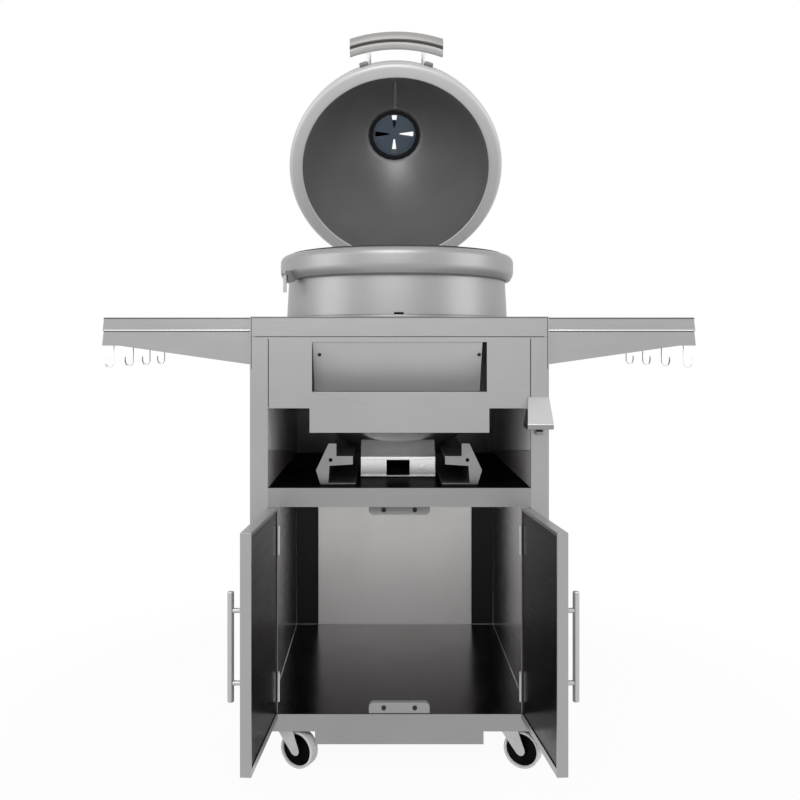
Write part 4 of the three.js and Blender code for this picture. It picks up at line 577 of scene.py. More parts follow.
# Radius along the edges of the pieces that keep their CAD shape, by how the node's name ends. The others
# have the common radius of a folded sheet.
EDGES = {
    "worktop": 1.6 * MM, "left_shelf": 1.4 * MM, "right_shelf": 1.4 * MM, "shelf_bracket": 0.5 * MM,
    "door": 0.7 * MM, "door_liner": 0.3 * MM, "hinge_leaf": 0.15 * MM,
    "magnet_catch": 1.2 * MM, "bottle_opener": 1.0 * MM,
    "caster_plate": 0.6 * MM, "caster_fork": 0.8 * MM,
    "charcoal_grate": 1.0 * MM, "vent_housing": 0.5 * MM, "vent_slide": 0.4 * MM, "cradle_rail": 0.5 * MM,
    "lid_hinge_arm": 1.5 * MM, "lid_hinge_base": 1.5 * MM, "vent_collar": 0.8 * MM, "vent_damper": 0.8 * MM,
    "thermometer": 0.8 * MM, "thermometer_needle": 0.2 * MM, "latch_base": 0.8 * MM, "latch_lever": 0.4 * MM,
}


def edge_of(node):
    widths = [width for ending, width in EDGES.items() if node.endswith(ending)]
    return widths[0] if widths else bpy.context.scene.grill_steel.edge


def skin(node, slot, material):
    """A sheet or casting in the shape of its CAD node, with its edges eased."""
    obj = from_bmesh(f"{node}_skin", node_mesh(node), 30)
    eased(obj, edge_of(node))
    return dressed(obj, body_of(node), slot, material, node)


def repaint(obj, material, chosen):
    """Gives one more finish to the faces that a test picks."""
    obj.data.materials.append(material)
    index = len(obj.data.materials) - 1
    for face in obj.data.polygons:
        if chosen(face):
            face.material_index = index
    return obj


def painted_edge_shade(obj):
    """A dark line painted along the upper front edge of a folded sheet: painted shade on the rounded edge."""
    return repaint(obj, finish("bracket_steel"), lambda face: face.normal.y < -0.2 and face.normal.z > 0.2)


def screw(name, place, radius, body, material=None, slot="bright_metal"):
    """A button-head screw that stands out along the Z axis of its place."""
    rise = radius * 0.55
    profile = [(0, rise * 0.35), (radius * 0.34, rise * 0.35), (radius * 0.36, rise * 0.98)]
    profile += arc_points((0, -radius * 0.62), radius * 1.18, 66, 32, 5)
    profile += [(radius, -radius * 0.3), (0, -radius * 0.3)]
    head = lathe(name, profile, place, 20, 40)
    return dressed(head, body, slot, material or finish("bright_steel"))


# Pieces


class GrillBuild:
    """What all the building steps have in common."""

    bl_options = {"REGISTER", "UNDO"}


CAMERA_SHIFT = (0.0231, -0.0638)  # of the image's width
FLOOR_COLOUR = (0.8, 0.8, 0.8, 1)
FLOOR_HALF = 14
FLOOR_FADE = (0.7, 1.3)  # from the table's middle, where the floor starts and ends turning white
FLOOR_WHITE_NEAR = 0.95
LAMP_TARGET = (0, 0, 0.8)
KEY_SIZE, FILL_SIZE = 1.8, 1.6
KEY_PLACE = (-0.25, FRONT - 2.1, 2.5)
FILL_PLACE = (2.4, FRONT - 0.6, 1.5)


class GRILL_OT_stage(GrillBuild, Operator):
    """Makes the floor, the room light, the lamps and the camera"""

    bl_idname = "grill.stage"
    bl_label = "Studio"

    def execute(self, context):
        studio = context.scene.grill_studio
        self.camera(context, studio)
        self.floor()
        self.room(context, studio)
        self.lamps(studio)
        context.scene.view_settings.view_transform = "Standard"
        return {"FINISHED"}

    def camera(self, context, studio):
        data = bpy.data.cameras.new("camera")
        data.sensor_width = 36
        data.lens = studio.lens
        data.shift_x, data.shift_y = CAMERA_SHIFT
        data.clip_start = 0.05
        data.clip_end = 100
        camera = linked("camera", data)
        camera.location = (studio.aside, FRONT - studio.distance, studio.height)
        camera.rotation_euler = (math.radians(90), 0, 0)
        context.scene.camera = camera

    def floor(self):
        """A pale floor: white where rays mirror it, and towards its far parts, with a soft shadow."""
        material = bpy.data.materials.new("studio_floor")
        graph = Wiring(material)
        paint = graph.put(graph.nodes["Principled BSDF"], {"Base Color": FLOOR_COLOUR, "Roughness": 0.9})
        glow = graph.add("Emission", {"Strength": 1.0})
        place = graph.add("TexCoord")
        reach = graph.add("VectorMath", {0: place.outputs["Object"]}, "LENGTH")
        near, far = FLOOR_FADE
        fade = graph.add("MapRange", {"From Min": near, "From Max": far, "To Min": FLOOR_WHITE_NEAR,
                                      "To Max": 1.0, "Value": reach.outputs["Value"]})
        fade.interpolation_type = "SMOOTHSTEP"
        path = graph.add("LightPath")
        seen = graph.add("Math", {0: path.outputs["Is Camera Ray"], 1: fade.outputs["Result"]}, "MULTIPLY")
        white = graph.greatest(seen.outputs[0], path.outputs["Is Glossy Ray"],
                               path.outputs["Is Transmission Ray"])
        blend = graph.add("MixShader", {"Fac": white, 1: paint.outputs["BSDF"], 2: glow.outputs["Emission"]})
        graph.put(graph.nodes["Material Output"], {"Surface": blend.outputs["Shader"]})
        bm = bmesh.new()
        bmesh.ops.create_grid(bm, x_segments=1, y_segments=1, size=FLOOR_HALF)
        floor = from_bmesh("studio_floor", bm)
        floor.data.materials.append(material)

    def room(self, context, studio):
        """Even light from all round, seen as white by the camera and by mirroring surfaces."""
        world = bpy.data.worlds.new("room")
        context.scene.world = world
        graph = Wiring(world)
        graph.nodes.clear()
        plain = graph.add("Background", {"Strength": studio.air})
        white = graph.add("Background", {"Color": (1, 1, 1, 1), "Strength": 1.0})
        path = graph.add("LightPath")
        seen = graph.greatest(path.outputs["Is Camera Ray"], path.outputs["Is Glossy Ray"],
                              path.outputs["Is Transmission Ray"])
        blend = graph.add("MixShader", {"Fac": seen, 1: plain.outputs["Background"],
                                        2: white.outputs["Background"]})
        graph.add("OutputWorld", {"Surface": blend.outputs["Shader"]})

    def lamps(self, studio):
        self.lamp("key", KEY_PLACE, KEY_SIZE, studio.key)
        aside, y, z = FILL_PLACE
        for name, side in SIDES:
            self.lamp(f"fill_{name}", (side * aside, y, z), FILL_SIZE, studio.fill)

    def lamp(self, name, place, size, power):
        data = bpy.data.lights.new(name, "AREA")
        data.shape = "SQUARE"
        data.size = size
        data.energy = power
        lamp = linked(name, data)
        lamp.location = place
        lamp.rotation_euler = (Vector(LAMP_TARGET) - Vector(place)).to_track_quat("-Z", "Y").to_euler()


HAIR = 0.1 * MM  # between a thin facing and the sheet that it lies on
BACKING = (0.3 * MM, 1.2 * MM)  # both faces of the plate behind the kamado, before the back panel
SLOPE_FRONT, SLOPE_REAR = 0.651, 0.583  # heights of the line on which the bay's side plates meet
SIDE_PLATE = 0.3 * MM
SIDE_PLATE_ENDS = (8 * MM, 3 * MM)  # behind the front, and before the back panel
BAY_HEAD, BAY_FOOT = 2 * MM, 0.5 * MM  # between a plate in the bay and the worktop or the shelf
POST_WIDTH = 58 * MM
POST_DEPTH = 7 * MM
POST_SHEET = 1.2 * MM
POST_BACK, POST_ROOT, POST_END = 0.4 * MM, 0.6 * MM, 1 * MM  # clear of the back, the liner and the ends
POST_EDGE = 0.3 * MM
RAIL_FACING = 0.25 * MM
SEAM_PROUD = 0.12 * MM
SEAM_DEPTH = 0.2 * MM
WINDOW_HALF = 177 * MM
WINDOW_SEAM = (0.7694, 0.7708)
WINDOW_SEAM_BACK = 0.3 * MM
STILE_SEAM_FOOT, SHELF_SEAM_FOOT = 0.738, 0.815
STILE_SEAM_HEAD, SHELF_SEAM_HEAD = 4 * MM, 3 * MM  # below the worktop's lip, and below its top
# Both edges of each dark line: above the worktop's lip, below its top, in from the fascia's end and from the
# worktop's end, below the shelf's top, and below the shelf's lip. The lines below the tops are painted shade
# along the rounded edges; the others lie on joints.
LIP_SEAM, TOP_EDGE_SHADE = (0.2 * MM, 1.4 * MM), (2.9 * MM, 1.7 * MM)
STILE_SEAM, SHELF_SEAM = (1.6 * MM, 0.2 * MM), (3.3 * MM, 2.0 * MM)
SHELF_TOP_SHADE, SKIRT_SEAM = (3.2 * MM, 1.5 * MM), (1.9 * MM, 0.3 * MM)
LIP_SEAM_END, SEAM_END = 10 * MM, 2 * MM
SHIELD_SCREW = (161.5 * MM, 15.7 * MM, 35.1 * MM)  # aside, behind the front, below the fascia's top
SHIELD_SLOPE = (0, -0.874, -0.486)
BACK_SCREWS = (("low", 0.2), ("mid", 0.55), ("high", 0.86))
BACK_SCREW_X, BACK_SCREW_Y = 236 * MM, REAR - 9 * MM


class GRILL_OT_cabinet(GrillBuild, Operator):
    """Makes the worktop, the panels, the shelf, the floor and the shield of the cabinet"""

    bl_idname = "grill.cabinet"
    bl_label = "Cabinet"

    def execute(self, context):
        painted_edge_shade(skin("worktop", "steel", satin("x")))
        skin("fascia_panel", "steel", satin("x"))
        skin("heat_shield", "steel", finish("shield_sheet"))
        self.back_wall()
        # The bay's floor sheet is a darker copy of the inner sheet: painted shade under the kamado
        skin("kamado_shelf", "dark_steel", finish("bay_floor_sheet"))
        skin("cabinet_floor", "dark_steel", finish("inner_sheet"))
        for name, side in SIDES:
            skin(f"{name}_side_panel", "steel", satin("z"))
            skin(f"{name}_side_liner", "dark_steel", finish("liner_sheet"))
            self.side_plates(name, side)
            self.corner_post(name, side)
        self.front_faces()
        self.seams()
        self.screws(context)
        return {"FINISHED"}

    def back_wall(self):
        """The back panel, its inner side painted brighter as painted light, and the dark plate that closes
        the bay behind the kamado, which paints the bay's shade.
        """
        panel = skin("back_panel", "steel", satin("z"))
        # Painted light: the inner side is a far brighter steel than the outer side
        repaint(panel, finish("wall_sheet"), lambda face: face.normal.y < -0.9)
        # A darker plate where the bay lies in shade: painted shade behind the kamado
        inner = low("back_panel").y
        corner = (high("left_side_liner").x + HAIR, inner - BACKING[1], high("kamado_shelf").z + HAIR)
        opposite = (low("right_side_liner").x - HAIR, inner - BACKING[0], low("worktop").z - BAY_HEAD)
        plate = brick("bay_back_plate", corner, opposite, HAIR)
        dressed(plate, "cabinet", "dark_steel", finish("bay_backing"))

    def side_plates(self, name, side):
        """Two thin plates on the liner beside the kamado, which meet along a sloping line: the upper one
        painted light and the lower one painted shade.
        """
        inner = high("left_side_liner").x * -side
        start, end = FRONT + SIDE_PLATE_ENDS[0], low("back_panel").y - SIDE_PLATE_ENDS[1]
        top, bottom = low("worktop").z - BAY_HEAD, high("kamado_shelf").z + BAY_FOOT
        upper = [(start, SLOPE_FRONT), (end, SLOPE_REAR), (end, top), (start, top)]
        lower = [(start, bottom), (end, bottom), (end, SLOPE_REAR - MM), (start, SLOPE_FRONT - MM)]
        place = basis(Vector((inner - side * HAIR, 0, 0)), (0, 1, 0), (0, 0, 1), (1, 0, 0))
        for level, outline in (("upper", upper), ("lower", lower)):
            plate = prism(f"{name}_{level}_side_plate", outline, *sorted((0, -side * SIDE_PLATE)), place)
            dressed(plate, "cabinet", "dark_steel", finish(f"{level}_side_plate"))

    def corner_post(self, name, side):
        """The channel that covers the corner between the liner and the back panel, coloured black as painted
        shade in the corner.
        """
        face = low("back_panel").y - POST_BACK
        wall = high("left_side_liner").x * -side
        root, edge = wall - side * POST_ROOT, wall - side * POST_WIDTH
        flange = edge + side * POST_SHEET
        top = low("kamado_shelf").z - POST_END
        bottom = high("cabinet_floor").z + POST_END
        outline = [(root, face), (edge, face), (edge, face - POST_DEPTH), (flange, face - POST_DEPTH),
                   (flange, face - POST_SHEET), (root, face - POST_SHEET)]
        post = prism(f"{name}_corner_post", outline, bottom, top, None, POST_EDGE)
        dressed(post, "cabinet", "dark_steel", finish("black_iron"))

    def front_faces(self):
        """Satin facings on the front of the two inner sheets, which are folded down there."""
        for node, name in (("kamado_shelf", "middle_rail_facing"), ("cabinet_floor", "bottom_rail_facing")):
            bm = node_mesh(node)
            face_y = min(vert.co.y for vert in bm.verts)
            front = max((f for f in bm.faces if abs(f.calc_center_median().y - face_y) < MM
                         and abs(f.normal.y) > 0.9), key=lambda f: f.calc_area())
            outline = [(vert.co.x, vert.co.z) for vert in front.verts]
            bm.free()
            place = basis(Vector((0, face_y, 0)), (1, 0, 0), (0, 0, 1), (0, -1, 0))
            facing_sheet = prism(name, outline, 0, RAIL_FACING, place)
            # The facings take a darker copy of the satin sheet: painted shade on the rails
            dressed(facing_sheet, "cabinet", "steel", satin("x", 0.8))

    def seams(self):
        """Thin dark lines along the joints of the outer sheets, and painted shade along the top edges of the
        worktop and the shelves.
        """
        front = low("left_side_panel").y - SEAM_PROUD
        lip = low("worktop").z
        wide = high("worktop").x
        # The worktop's lower edge, its upper edge as painted shade, and the window's lower edge
        start, end = wide - LIP_SEAM_END, wide - SEAM_END
        lines = [(-start, front, lip + LIP_SEAM[0], start, lip + LIP_SEAM[1]),
                 (-end, front, TABLE_TOP - TOP_EDGE_SHADE[0], end, TABLE_TOP - TOP_EDGE_SHADE[1]),
                 (-WINDOW_HALF, FRONT + WINDOW_SEAM_BACK, WINDOW_SEAM[0], WINDOW_HALF, WINDOW_SEAM[1])]
        for name, side in SIDES:
            # Beside the fascia, beside the shelf, and above the shelf's lip as painted shade and below it on
            # the joint
            for edge, (first, last), foot, head in (
                    (high("fascia_panel").x, STILE_SEAM, STILE_SEAM_FOOT, lip - STILE_SEAM_HEAD),
                    (wide, SHELF_SEAM, SHELF_SEAM_FOOT, TABLE_TOP - SHELF_SEAM_HEAD)):
                lines.append((side * (edge - first), front, foot, side * (edge - last), head))
            lowest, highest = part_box(f"{name}_shelf")
            skirt = low(f"{name}_shelf_bracket").y
            for level, (first, last), face in ((highest.z, SHELF_TOP_SHADE, lowest.y),
                                               (lowest.z, SKIRT_SEAM, skirt)):
                lines.append((lowest.x + SEAM_END, face - SEAM_PROUD, level - first,
                              highest.x - SEAM_END, level - last))
        for i, (x, y, z, far_x, far_z) in enumerate(lines):
            strip = brick(f"seam_line_{i}", (x, y, z), (far_x, y + SEAM_DEPTH, far_z))
            dressed(strip, "cabinet", "dark_steel", finish("seam_steel"))

    def screws(self, context):
        radius = context.scene.grill_fittings.screw
        aside, behind, below = SHIELD_SCREW
        for name, side in SIDES:
            origin = (side * aside, FRONT + behind, high("fascia_panel").z - below)
            place = facing(origin, SHIELD_SLOPE)
            screw(f"{name}_shield_screw", place, radius * 1.1, "cabinet", finish("black_iron"), "black_metal")
            for level, height in BACK_SCREWS:
                place = facing((side * BACK_SCREW_X, BACK_SCREW_Y, height), (0, 1, 0))
                screw(f"{name}_back_screw_{level}", place, radius, "cabinet")


HANDLE_FROM_HINGE = 226.25 * MM
HANDLE_STANDOFF = 25 * MM  # from the hinge's plane out to the bar
HANDLE_RADIUS = 6 * MM
HANDLE_POSTS = 64 * MM  # from the bar's middle to each post
POST_RADIUS, POST_LENGTH = 4.5 * MM, 19.5 * MM
FOOT_RADIUS, FOOT_START, FOOT_END = 6.6 * MM, 21.3 * MM, 23.4 * MM
HINGE_HOOK = (2.6 * MM, 8 * MM)  # how far the bright pad stands off and reaches back
HOOK_SUNK = Vector((0.4 * MM, 0.3 * MM, 0.5 * MM))  # how far it starts inside the leaf
HOOK_EDGE = 0.8 * MM


class GRILL_OT_doors(GrillBuild, Operator):
    """Makes both doors with their liners, handles and hinges"""

    bl_idname = "grill.doors"
    bl_label = "Doors"

    def execute(self, context):
        for name, side in SIDES:
            skin(f"{name}_door", "steel", satin("z"))
            # The door liners are a darker copy of the inner sheet: painted shade on the doors' inner faces
            skin(f"{name}_door_liner", "dark_steel", finish("door_liner_sheet"))
            self.handle(name, side)
            self.hinges(context, name, side)
        return {"FINISHED"}

    def handle(self, name, side):
        """The bar and its two posts, placed from the hinge as they stand on the open door."""
        node = f"{name}_door_handle"
        joint = JOINTS[f"{name}_door_hinge"]
        closing = max(joint["range_deg"], key=abs)
        turn = Matrix.Rotation(math.radians(-closing), 3, "Z")
        outward = turn @ Vector((0, -1, 0))
        inward = turn @ Vector((-side, 0, 0))
        lowest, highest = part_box(node)
        radius = HANDLE_RADIUS
        bar = Vector(joint["pos_m"]) + inward * HANDLE_FROM_HINGE + outward * HANDLE_STANDOFF
        length = highest.z - lowest.z
        profile = [(0, 0)] + arc_points((radius * 0.55, radius * 0.45), radius * 0.45, -90, 0, 4)
        profile += [(r, length - h) for r, h in reversed(profile)]
        parts = [lathe("rod", profile, Matrix.Translation((bar.x, bar.y, lowest.z)), 32)]
        for sign in (-1, 1):
            z = (lowest.z + highest.z) / 2 + sign * HANDLE_POSTS
            post = [(0, 0), (POST_RADIUS, 0), (POST_RADIUS, POST_LENGTH), (FOOT_RADIUS, FOOT_START),
                    (FOOT_RADIUS, FOOT_END), (0, FOOT_END)]
            place = facing((bar.x, bar.y, z), -outward)
            parts.append(lathe("post", rounded(post, [0, 0, 1.5 * MM, 0, 0, 0], 4, False), place, 24))
        bar = joined(f"{name}_handle_bar", parts)
        dressed(bar, body_of(node), "bright_metal", finish("bright_steel"), node)

    def hinges(self, context, name, side):
        radius = context.scene.grill_fittings.screw * 0.55
        for level in ("lower", "upper"):
            node = f"{name}_{level}_hinge_leaf"
            skin(node, "bright_metal", finish("polished_steel"))
            lowest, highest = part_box(node)
            root = highest.x if name == "left" else lowest.x
            out, back = HINGE_HOOK
            corner = (root + side * HOOK_SUNK.x, lowest.y + HOOK_SUNK.y, lowest.z + HOOK_SUNK.z)
            opposite = (root - side * out, lowest.y + back, highest.z - HOOK_SUNK.z)
            hook = brick(f"{node}_hook", corner, opposite, HOOK_EDGE)
            dressed(hook, body_of(node), "bright_metal", finish("polished_steel"))
            for share in (0.2, 0.8):
                z = lowest.z + (highest.z - lowest.z) * share
                place = facing((root - side * HAIR, middle(node).y, z), (-side, 0, 0))
                screw(f"{node}_screw_{int(share * 10)}", place, radius, body_of(node))


MAGNET = [(0, 0), (4.6 * MM, 0), (4.6 * MM, 2.2 * MM), (4 * MM, 2.8 * MM), (0, 2.8 * MM)]
MAGNET_X = 31.5 * MM
MAGNET_INSET = 10 * MM  # from the catch's outer edge
OPENER_LIP = 23 * MM


class GRILL_OT_catches(GrillBuild, Operator):
    """Makes the two magnetic catches and the bottle opener"""

    bl_idname = "grill.catches"
    bl_label = "Catches and opener"

    def execute(self, context):
        for level in ("lower", "upper"):
            node = f"{level}_magnet_catch"
            skin(node, "pale_plastic", finish("catch_plastic"))
            lowest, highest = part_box(node)
            height = lowest.z + MAGNET_INSET if level == "upper" else highest.z - MAGNET_INSET
            for name, side in SIDES:
                place = facing((side * MAGNET_X, lowest.y + 0.4 * MM, height), (0, -1, 0))
                magnet = lathe(f"{level}_magnet_{name}", MAGNET, place, 24)
                dressed(magnet, "cabinet", "black_metal", finish("black_iron"))
        opener = skin("bottle_opener", "steel", finish("opener_steel"))
        lip_top = low("bottle_opener").z + OPENER_LIP
        # The opener's lower lip is painted darker: painted shade under its bent edge
        repaint(opener, finish("bracket_steel"), lambda face: face.center.z < lip_top)
        return {"FINISHED"}


HOOK_TOP = 861 * MM
HOOK_START = 598 * MM
HEM_END = 3 * MM  # from each end of the lip
HEM_FOOT, HEM_TOP = 0.3 * MM, 2.6 * MM
HEM_PROUD, HEM_SUNK = 0.2 * MM, 0.4 * MM


class GRILL_OT_shelves(GrillBuild, Operator):
    """Makes the side shelves with their brackets and tool hooks"""

    bl_idname = "grill.shelves"
    bl_label = "Side shelves"

    def execute(self, context):
        for name, side in SIDES:
            painted_edge_shade(skin(f"{name}_shelf", "steel", satin("x")))
            self.hem(name)
            bracket = skin(f"{name}_shelf_bracket", "steel", satin("x"))
            repaint(bracket, finish("polished_steel"),
                    lambda face: face.center.z < HOOK_TOP and abs(face.center.x) > HOOK_START)
        return {"FINISHED"}

    def hem(self, name):
        """The turned-in hem along the lower edge of a shelf's front lip, polished bright as a painted
        highlight along the bend.
        """
        lowest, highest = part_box(f"{name}_shelf")
        corner = (lowest.x + HEM_END, lowest.y - HEM_PROUD, lowest.z + HEM_FOOT)
        opposite = (highest.x - HEM_END, lowest.y + HEM_SUNK, lowest.z + HEM_TOP)
        strip = brick(f"{name}_shelf_hem", corner, opposite, 0.15 * MM)
        dressed(strip, "cabinet", "steel", finish("polished_steel"))


TREAD_HALF = 12.4 * MM  # half the wheel's width at its tread and its hub
TYRE_HEIGHT = 5 * MM
WEB_HALF, WEB_HALF_HUB = 6.5 * MM, 6 * MM
HUB_RADII = (12 * MM, 11 * MM, 5.4 * MM)  # at its foot, its shoulder and its bore


class GRILL_OT_casters(GrillBuild, Operator):
    """Makes the four casters"""

    bl_idname = "grill.casters"
    bl_label = "Casters"

    def execute(self, context):
        for name in CASTERS:
            skin(f"{name}_caster_plate", "grey_metal", finish("grey_casting"))
            skin(f"{name}_caster_fork", "bright_metal", finish("fork_steel"))
            self.wheel(name)
        return {"FINISHED"}

    def wheel(self, name):
        node = f"{name}_caster_wheel"
        joint = JOINTS[f"{name}_wheel_spin"]
        radius = joint["pos_m"][2] - 0.1 * MM
        core = radius - TYRE_HEIGHT
        foot, shoulder, bore = HUB_RADII
        side = rounded([(radius, 0), (radius, TREAD_HALF), (core, TREAD_HALF), (core - 1 * MM, WEB_HALF),
                        (foot, WEB_HALF_HUB), (shoulder, TREAD_HALF), (bore, TREAD_HALF)],
                       [0, 4 * MM, 1 * MM, 2 * MM, 2 * MM, 1.5 * MM, 0], 5, False)
        profile = [(r, -z) for r, z in reversed(side[1:])] + side
        place = facing(joint["pos_m"], joint["axis"])
        wheel = lathe(f"{name}_tyre", profile, place, 64)
        dressed(wheel, body_of(node), "rubber", finish("core_rubber"), node)
        back = place.inverted()
        repaint(wheel, finish("tyre_rubber"), lambda face: (back @ face.center).xy.length > core - 0.5 * MM)


# The kamado's casting
BOWL_WALL = 260 * MM
BOWL_INNER = 229 * MM
BOWL_FOOT = 77 * MM
BOWL_INLET = 40 * MM
BOWL_BELLY_SHARE = 0.576
BAND_RADIUS = 272 * MM
LID_RIM_RADIUS = 237 * MM
LID_RADIUS = 271 * MM
LID_HEIGHTS = (290 * MM, 320 * MM)
LID_FLAT = 74 * MM
LID_BORE = 66.3 * MM
LID_ROUNDNESS_SHARE = 1.8
BAND_FOOT, BAND_START = 66 * MM, 43 * MM  # below the bowl's rim
BAND_ROUNDS = (30 * MM, 30 * MM, 22 * MM, 3 * MM, 1.5 * MM, 3 * MM)  # from the band's foot to the seat
RING_ROUNDS, GASKET_ROUNDS = (3 * MM, 1.5 * MM), (1.4 * MM, 1.4 * MM)  # outer and inner
RUBBER_EDGE = 0.8 * MM
INSIDE_MARGIN = 12 * MM  # from the bowl's outer face, which tells its inner faces apart
SEAT_DEPTH = 21 * MM
BOWL_FLOOR = 18 * MM
BOWL_STEPS = 24
RING_WIDTH, GASKET_WIDTH = 9 * MM, 12 * MM
GRATE_RIM, GRATE_ROD, GRATE_BAR = 3 * MM, 2 * MM, 2.5 * MM
GRATE_RODS = 27


class GRILL_OT_bowl(GrillBuild, Operator):
    """Makes the kamado's bowl, its gasket, trim ring, pad and grates"""

    bl_idname = "grill.bowl"
    bl_label = "Bowl"

    def execute(self, context):
        self.bowl(context)
        self.trim(context)
        self.cooking_grate()
        skin("charcoal_grate", "black_metal", finish("black_iron"))
        return {"FINISHED"}

    def bowl(self, context):
        facets = context.scene.grill_casting.facets
        rim = high("kamado_bowl").z
        base = low("kamado_bowl").z
        belly = base + (rim - base) * BOWL_BELLY_SHARE
        deep = (belly - base) / math.sqrt(1 - (BOWL_FOOT / BOWL_WALL) ** 2)
        seat = rim - SEAT_DEPTH
        shoulder = rounded([(BOWL_WALL, rim - BAND_FOOT), (BAND_RADIUS, rim - BAND_START), (BAND_RADIUS, rim),
                            (LID_RIM_RADIUS, rim), (LID_RIM_RADIUS, seat), (BOWL_INNER, seat)],
                           BAND_ROUNDS, 8)
        outer = self.belly_curve(BOWL_WALL, belly, deep, math.asin((belly - base) / deep), 0)
        inner = self.belly_curve(BOWL_INNER, belly, belly - base - BOWL_FLOOR, 0,
                                 math.acos(BOWL_INLET / BOWL_INNER))
        profile = [(BOWL_INLET, base)] + outer + shoulder + inner
        bowl = lathe("bowl_casting", profile, Matrix.Translation(BOWL_AXIS), facets, 40)
        dressed(bowl, "cabinet", "cast_metal", finish("cast_coat"), "kamado_bowl")

        def within(face):
            centre = face.center - BOWL_AXIS
            spread = math.hypot(centre.x, centre.y)
            below = max(0, belly - centre.z)
            wall = BOWL_WALL * math.sqrt(max(0, 1 - (below / deep) ** 2))
            return spread < LID_RIM_RADIUS + 0.5 * MM and spread < wall - INSIDE_MARGIN

        repaint(bowl, finish("cast_inside"), within)

    def belly_curve(self, radius, middle_height, depth, start, end):
        """A quarter of an ellipse below the belly, from one angle to another."""
        turns = [start + (end - start) * i / BOWL_STEPS for i in range(BOWL_STEPS + 1)]
        return [(radius * math.cos(turn), middle_height - depth * math.sin(turn)) for turn in turns]

    def trim(self, context):
        facets = context.scene.grill_casting.facets
        self.band("trim_ring", "trim_band", RING_WIDTH, RING_ROUNDS, 5, facets, "steel", "bracket_steel")
        self.band("rim_gasket", "gasket_felt", GASKET_WIDTH, GASKET_ROUNDS, 4, facets, "felt",
                  "pressed_felt")
        pad = brick("pad_rubber", *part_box("front_pad"), RUBBER_EDGE)
        dressed(pad, "cabinet", "rubber", finish("core_rubber"), "front_pad")

    def band(self, node, name, width, rounds, steps, facets, slot, look):
        """A flat ring around the bowl, as wide as its node and rounded along its upper edges."""
        lowest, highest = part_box(node)
        outer = (highest.x - lowest.x) / 2
        inner = outer - width
        corners = [(inner, lowest.z), (outer, lowest.z), (outer, highest.z), (inner, highest.z)]
        outline = rounded(corners, [0, 0, *rounds], steps)
        ring = lathe(name, outline, Matrix.Translation(BOWL_AXIS), facets)
        dressed(ring, "cabinet", slot, finish(look), node)

    def cooking_grate(self):
        lowest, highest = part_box("cooking_grate")
        centre = (lowest + highest) / 2
        ring_path = (highest.x - lowest.x) / 2 - GRATE_RIM
        parts = [lathe("ring", [(ring_path + u, v) for u, v in circle(GRATE_RIM, 12)],
                       Matrix.Translation(centre), 96)]
        pitch = 2 * ring_path / (GRATE_RODS + 1)
        for i in range(GRATE_RODS):
            x = (i + 1) * pitch - ring_path
            half = Vector((0, math.sqrt(ring_path ** 2 - x ** 2), 0))
            rod = centre + Vector((x, 0, 0))
            parts.append(sweep("rod", [rod - half, rod + half], circle(GRATE_ROD, 10)))
        for sign in (-1, 1):
            y = sign * ring_path * 0.5
            half = Vector((math.sqrt(ring_path ** 2 - y ** 2), 0, 0))
            bar = centre + Vector((0, y, -GRATE_RIM * 0.6))
            parts.append(sweep("rod", [bar - half, bar + half], circle(GRATE_BAR, 10)))
        grate = joined("grate_rods", parts)
        dressed(grate, body_of("cooking_grate"), "grate_steel", finish("grate_steel"), "cooking_grate")


DUCT_FRONT = 8 * MM  # how deep the duct's bright front lip is
DUCT_TOP = 40 * MM  # how far its sloping front reaches down


class GRILL_OT_lower_vent(GrillBuild, Operator):
    """Makes the air duct under the bowl, its slide and the cradle rails"""

    bl_idname = "grill.lower_vent"
    bl_label = "Lower vent and cradle"

    def execute(self, context):
        housing = skin("vent_housing", "bright_metal", finish("polished_steel"))
        lowest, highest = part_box("vent_housing")

        # The duct's inner faces are painted black: painted shade inside the duct
        def in_duct(face):
            centre, normal = face.center, face.normal
            outside = normal.z > 0.3 and centre.z > highest.z - DUCT_TOP
            ahead = centre.y > lowest.y + DUCT_FRONT and normal.y < 0.5
            across = abs(centre.x) < highest.x - 1.5 * MM
            return ahead and across and not outside and lowest.z + 1 * MM < centre.z < highest.z - 3 * MM

        repaint(housing, finish("black_iron"), in_duct)
        skin("vent_slide", "bright_metal", finish("polished_steel"))
        for name, side in SIDES:
            skin(f"{name}_cradle_rail", "bright_metal", finish("bracket_steel"))
        return {"FINISHED"}


DOME_STEPS = 28


def dome(radius, top, start):
    """The lid's curve from a start height up to its flat top."""
    power = 2 / LID_ROUNDNESS_SHARE
    stop = math.acos((LID_FLAT / radius) ** (1 / power))
    height = top / math.sin(stop) ** power
    first = math.asin((start / height) ** (1 / power))
    turns = [first + (stop - first) * i / DOME_STEPS for i in range(DOME_STEPS + 1)]
    return [(radius * math.cos(turn) ** power, height * math.sin(turn) ** power) for turn in turns]


def lid_place():
    """The lid's own axes: Z out of its top, and -Y towards the front of the closed lid."""
    z_axis = LID_DIRECTION
    x_axis = Vector((1, 0, 0))
    return basis(LID_CENTRE, x_axis, z_axis.cross(x_axis), z_axis)


OUTER_ROUND = 11 * MM
RIM_BAND = 25 * MM
GRIP_RISE = 45 * MM
GRIP_REACH = 44 * MM  # from the lid to the grip's middle line
GRIP_ARCH = 360 * MM
GRIP_HALF = 112.5 * MM
GRIP_SPARE = 12 * MM  # cut off at each end
GRIP_THICK = 20.8 * MM
GROOVE_DEPTH = 3.9 * MM
GROOVE_HALF = 3.5  # degrees
